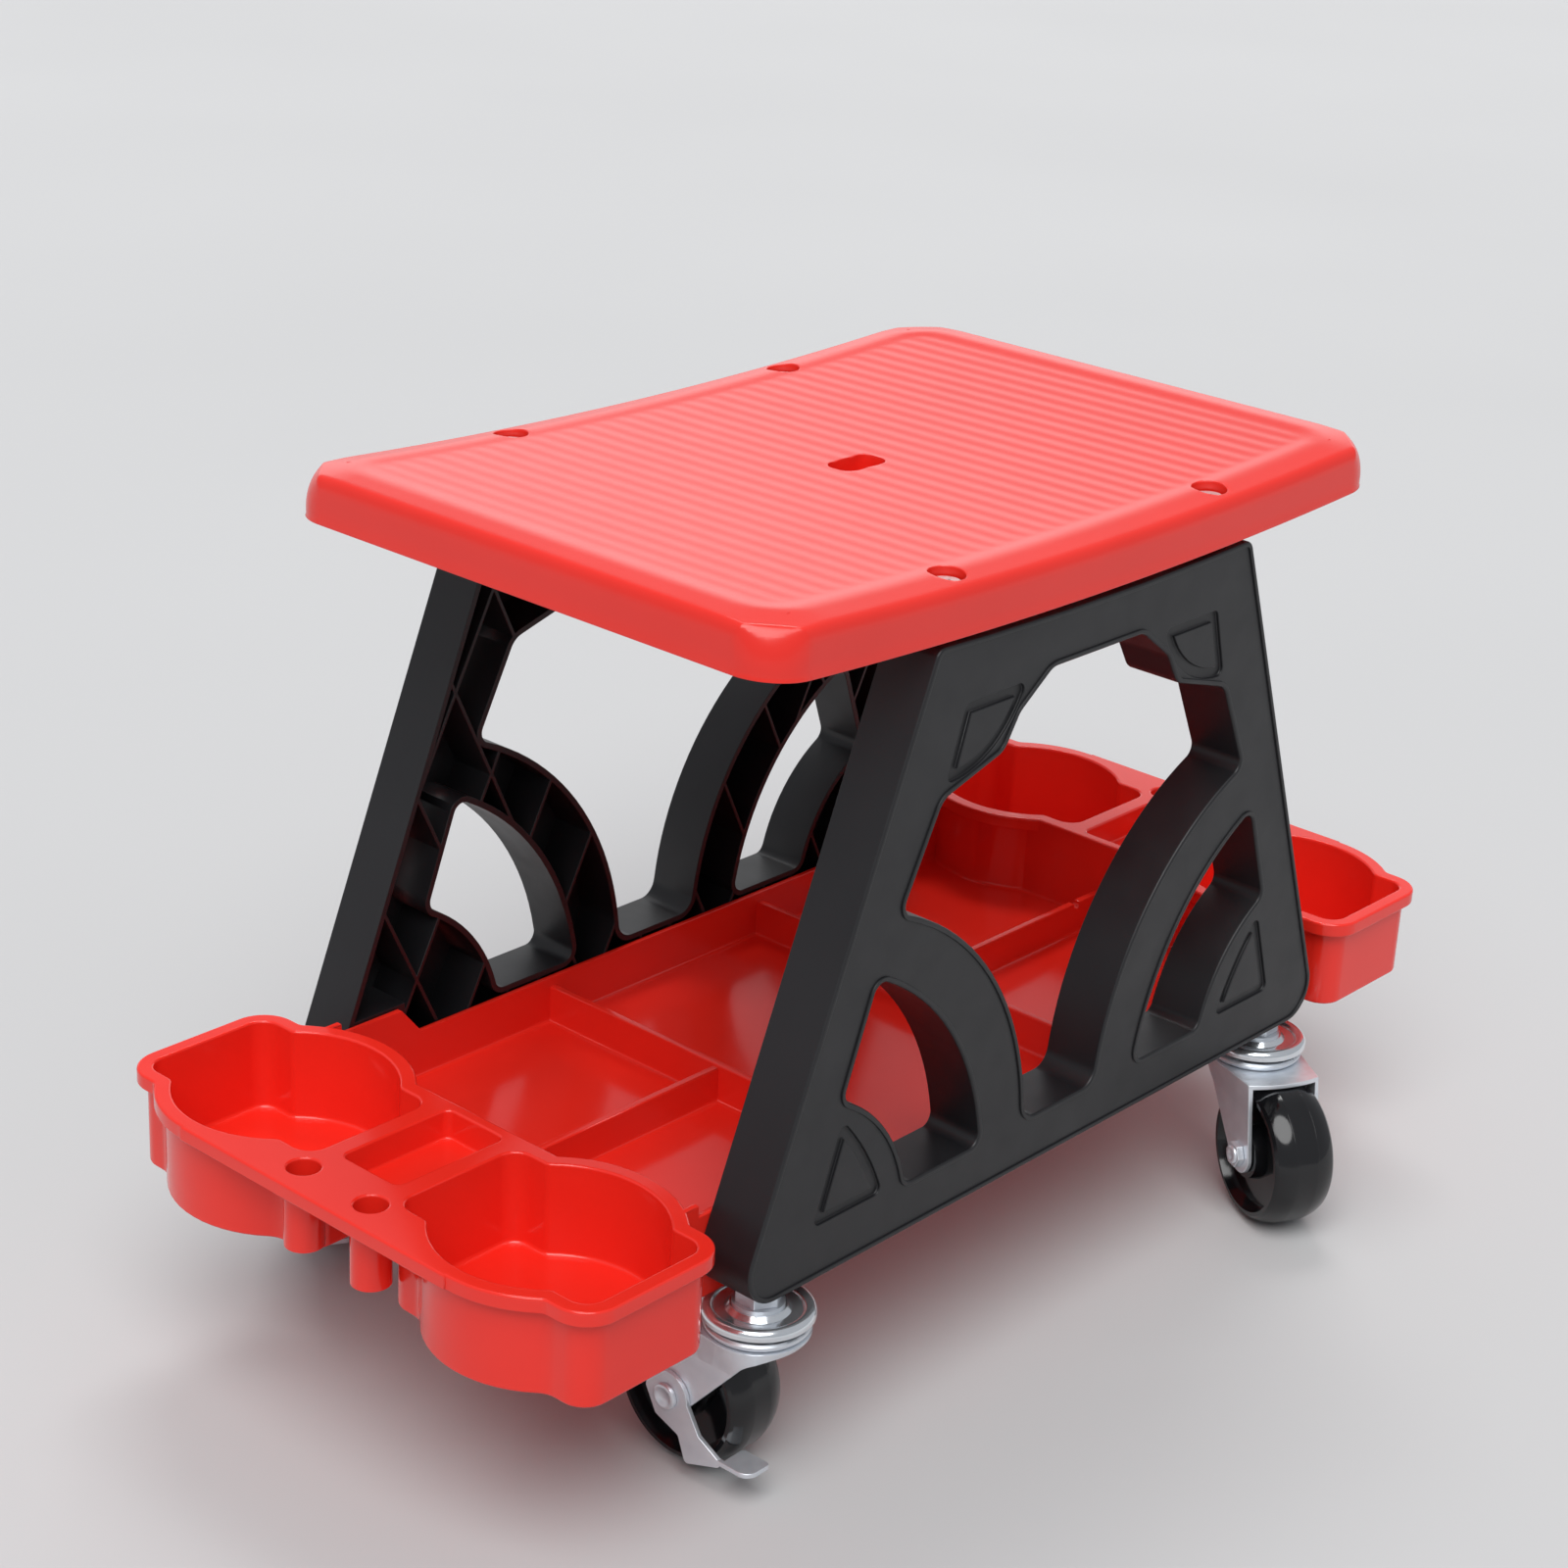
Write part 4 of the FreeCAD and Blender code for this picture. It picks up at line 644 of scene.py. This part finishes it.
def skirt_step(share, out):
    def move(co):
        foot = skirt_foot(co.x)
        flat = pushed_out(co, out)
        return Vector((flat.x, flat.y, foot + (co.z - foot) * share))
    return move


open_edges = [e for e in seat_work.edges if e.is_boundary]
outer = [e for e in open_edges if depth_inside(*e.verts[0].co.xy, SEAT_CORNER) < ON_OUTLINE]
holes = [e for e in open_edges if e not in set(outer)]
for share, out in SKIRT_STEPS:
    outer = drawn_edge(seat_work, outer, skirt_step(share, out))


def hole_step(inward, down):
    def move(co):
        middle = min(HOLE_CENTRES, key=lambda m: math.hypot(co.x - m[0], co.y - m[1]))
        flat = Vector((co.x - middle[0], co.y - middle[1]))
        flat.length -= inward
        return Vector((flat.x + middle[0], flat.y + middle[1], co.z - down))
    return move


for inward, down in HOLE_STEPS:
    holes = drawn_edge(seat_work, holes, hole_step(inward, down))

bmesh.ops.recalc_face_normals(seat_work, faces=seat_work.faces)
if max(seat_work.faces, key=lambda f: f.calc_area()).normal.z < 0:
    bmesh.ops.reverse_faces(seat_work, faces=seat_work.faces)


def on_the_outside(face):
    """Whether a face of the CAD seat belongs to its upper surface or its skirt."""
    for vert in face.verts:
        skin = SEAT_TOP + saddle(vert.co.x) - TOP_SKIN
        on_top = face.normal.z > UPWARD and vert.co.z > skin
        on_side = depth_inside(vert.co.x, vert.co.y, SEAT_CORNER) < SIDE_SKIN
        if not (on_top or on_side):
            return False
    return True


inner_work = merged_copy("seat")
bmesh.ops.scale(inner_work, vec=(1 / MILLI, 1 / MILLI, 1 / MILLI), verts=inner_work.verts)
outside = [face for face in inner_work.faces if on_the_outside(face)]
bmesh.ops.delete(inner_work, geom=outside, context="FACES")
for vert in inner_work.verts:
    x, y, z = vert.co
    from_corner = SEAT_HALF_X - abs(x) + SEAT_HALF_Y - abs(y)
    if depth_inside(x, y, SEAT_CORNER) > SIDE_SKIN and from_corner < UNDER_FACET:
        vert.co.z = min(z, seat_height(x, y) - SEAT_WALL)
print("faces kept underneath", len(inner_work.faces), "left out", len(outside))
inner_data = bpy.data.meshes.new("seat_inner")
inner_work.to_mesh(inner_data)
inner_work.free()
seat_work.from_mesh(inner_data)
bmesh.ops.scale(seat_work, vec=(MILLI, MILLI, MILLI), verts=seat_work.verts)
seat_made = piece("seat_moulded", seat_work, seat_red, body_of["seat"])
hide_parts("seat")
print("seat faces", len(seat_made.data.polygons))

# %% [markdown]
# ## Tool tray
#
# The tray is one thin-walled moulding, so every rim is a small roll and every
# floor runs up into its walls with a fillet. Edges are taken level by level: the
# deck, the floors, the low walls, the lip and then the underside. The levels are
# the source's own heights, counted from the feet of the side frames.

# %% Tray
FEET_Z = 83.5
DECK_Z, FLOOR_Z, BELOW_Z = FEET_Z + 36.0, FEET_Z - 2.5, FEET_Z - 5.0
CUP_Z, LIP_Z, WALL_Z, EAR_Z = FEET_Z + 24.0, FEET_Z + 30.0, FEET_Z + 18.0, FEET_Z + 31.0
DIVIDER_Z, SPINE_Z = FEET_Z + 14.0, FEET_Z + 13.0
DECK_ROUND, FLOOR_FILLET, CUP_FILLET = 1.0, 1.9, 1.2
WALL_ROUND, LIP_ROUND, BELOW_ROUND = 0.7, 0.5, 1.4

tray_work = merged_copy("tool_tray")
round_off(tray_work, sharp_edges(tray_work, at_level(2, DECK_Z)), DECK_ROUND)
round_off(tray_work, sharp_edges(tray_work, at_level(2, FLOOR_Z), bulging=False), FLOOR_FILLET, 4)
round_off(tray_work, sharp_edges(tray_work, at_level(2, CUP_Z), bulging=False), CUP_FILLET)
for level in (WALL_Z, EAR_Z, DIVIDER_Z, SPINE_Z):
    round_off(tray_work, sharp_edges(tray_work, at_level(2, level)), WALL_ROUND)
round_off(tray_work, sharp_edges(tray_work, at_level(2, LIP_Z)), LIP_ROUND, 2)
round_off(tray_work, sharp_edges(tray_work, at_level(2, BELOW_Z)), BELOW_ROUND)
tray_made = piece("tool_tray_moulded", tray_work, tray_red, body_of["tool_tray"],
                  weighted=True)
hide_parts("tool_tray")
print("tray faces", len(tray_made.data.polygons))

# %% [markdown]
# ## Pressed steel and small fastenings
#
# The forks and brake levers are stamped from plate, and a press leaves the cut
# edges slightly round. The copies below get that round on every sharp outside
# edge. The nuts keep their flats and lose only their sharp edges.

# %% Forks, levers and nuts
PRESSED = {"caster_fork": 0.3, "brake_lever": 0.3, "stem_nut": 0.35, "axle_nut": 0.35}
PRESSED_JOIN, PRESSED_DEGREES, SHORTEST = 0.06, 50.0, 0.25


def long_enough(edge):
    return edge.calc_length() > SHORTEST * MILLI


for node in [name for name in nodes if name.startswith(tuple(PRESSED))]:
    width = next(w for start, w in PRESSED.items() if node.startswith(start))
    work = merged_copy(node, PRESSED_JOIN)
    round_off(work, sharp_edges(work, long_enough, angle=PRESSED_DEGREES), width, 2)
    made = piece(node + "_pressed", work, zinc_plate, body_of[node],
                 weighted=True)
    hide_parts(node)

# %% [markdown]
# ## Axle bolts and screw heads
#
# A cold-headed bolt often has a shallow dimple in each end. The two end faces of
# its copy are found as the flat faces that look along the axle, and they are set
# in and pushed down.

# %% Dimples in the axle bolts
DIMPLE_EDGE, DIMPLE_SLOPE, DIMPLE_DEPTH = 1.5, 0.5, 0.7
DIMPLE_CREASE, ALONG_AXLE = 50, 0.99


def axle_line(end):
    """Middle of one caster's wheel and the direction of its axle."""
    low, high = (Vector(corner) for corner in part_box("wheel_" + end))
    nut_low, nut_high = (Vector(corner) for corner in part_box("axle_nut_" + end))
    along = (nut_low + nut_high - low - high) / 2
    along.z = 0
    return (low + high) / 2, along.normalized()


for node in [name for name in nodes if name.startswith("axle_bolt")]:
    along = axle_line(node.replace("axle_bolt_", ""))[1]
    work = merged_copy(node)
    for side in (-1, 1):
        ends = [f for f in work.faces if f.normal.dot(along * side) > ALONG_AXLE]
        face = max(ends, key=lambda f: f.calc_center_median().dot(along * side))
        for run, depth in ((DIMPLE_EDGE, 0), (DIMPLE_SLOPE, -DIMPLE_DEPTH)):
            bmesh.ops.inset_region(work, faces=[face], thickness=run * MILLI,
                                   depth=depth * MILLI, use_even_offset=True)
    made = piece(node + "_dimpled", work, zinc_plate, body_of[node],
                 DIMPLE_CREASE)
    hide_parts(node)

# %% [markdown]
# The screws' heads get a cross for the driver, cut by one block with a cross for
# its plan. Two crossed blocks would share the planes of their ends, and such a
# Boolean comes out differently from run to run.

# %% Crosses in the screw heads
CROSS_LONG, CROSS_WIDE, CROSS_DEEP, CROSS_ABOVE = 2.3, 0.42, 1.5, 2.0
SEAT_HEAD_Z = 337.6
TRAY_SCREW_X, TRAY_SCREW_Y, TRAY_SCREW_Z = 174.4, 94.5, 95.5


def cross_cutter(place, facing):
    """One block with a cross for its plan, where a screw's head meets the driver."""
    work = bmesh.new()
    bmesh.ops.create_grid(work, x_segments=3, y_segments=3, size=CROSS_LONG)
    for vert in work.verts:
        for axis in (0, 1):
            if abs(vert.co[axis]) < CROSS_LONG / 2:
                vert.co[axis] = math.copysign(CROSS_WIDE, vert.co[axis])
    corners = [f for f in work.faces if min(map(abs, f.calc_center_median().xy)) > CROSS_WIDE]
    bmesh.ops.delete(work, geom=corners, context="FACES")
    bmesh.ops.translate(work, vec=(0, 0, -CROSS_DEEP), verts=work.verts)
    grown = bmesh.ops.extrude_face_region(work, geom=work.faces[:])["geom"]
    raised = [g for g in grown if isinstance(g, bmesh.types.BMVert)]
    bmesh.ops.translate(work, vec=(0, 0, CROSS_DEEP + CROSS_ABOVE), verts=raised)
    bmesh.ops.recalc_face_normals(work, faces=work.faces)
    bmesh.ops.scale(work, vec=(MILLI, MILLI, MILLI), verts=work.verts)
    turn = Vector(facing).to_track_quat("Z", "Y").to_matrix().to_4x4()
    there = Matrix.Translation(Vector(place) * MILLI) @ turn
    bmesh.ops.transform(work, matrix=there, verts=work.verts)
    return mesh_object("cross_cutter", work)


HEADS = {
    "seat_screws": [((sx * SCREW_X, sy * SCREW_Y, SEAT_HEAD_Z), (0, 0, 1)) for sx, sy in CORNERS],
    "tray_screws": [((sx * TRAY_SCREW_X, sy * TRAY_SCREW_Y, TRAY_SCREW_Z), (0, -sy, 0))
                    for sx, sy in CORNERS],
}
for node, heads in HEADS.items():
    cutters = [cross_cutter(place, facing) for place, facing in heads]
    work = cut_away(mesh_object(node + "_blank", merged_copy(node)), cutters)
    made = piece(node + "_crossed", work, screw_steel, body_of[node])
    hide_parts(node)
    print(made.name, "faces", len(made.data.polygons))

# %% [markdown]
# ## Parting seams on the wheels
#
# The photograph shows fine light lines round the tread, as the parts of a mould
# leave them, so a fine raised seam goes on both sides of its middle. A seam is a
# small circle turned once about the wheel's axle.

# %% Wheel seams
SEAM_RADIUS, SEAM_THICK, SEAM_SIDE = 31.45, 0.28, 5.2
SEAM_CREASE, SEAM_SEGMENTS, SEAM_STEPS = 60, 8, 96

for node in [name for name in nodes if name.startswith("wheel")]:
    centre, axle = axle_line(node.replace("wheel_", ""))
    outward = axle.cross(Vector((0, 0, 1)))
    for side in (-1, 1):
        work = bmesh.new()
        ring = bmesh.ops.create_circle(work, segments=SEAM_SEGMENTS,
                                       radius=SEAM_THICK * MILLI)["verts"]
        turn = Matrix((outward, axle, Vector((0, 0, 1)))).transposed().to_4x4()
        bmesh.ops.transform(work, matrix=turn, verts=ring)
        start = centre + axle * side * SEAM_SIDE * MILLI + outward * SEAM_RADIUS * MILLI
        bmesh.ops.translate(work, vec=start, verts=ring)
        bmesh.ops.spin(work, geom=work.verts[:] + work.edges[:], cent=centre, axis=axle,
                       angle=math.tau, steps=SEAM_STEPS, use_merge=True)
        bmesh.ops.recalc_face_normals(work, faces=work.faces)
        name = node + ("_seam_out" if side > 0 else "_seam_in")
        piece(name, work, wheel_black, body_of[node], SEAM_CREASE)
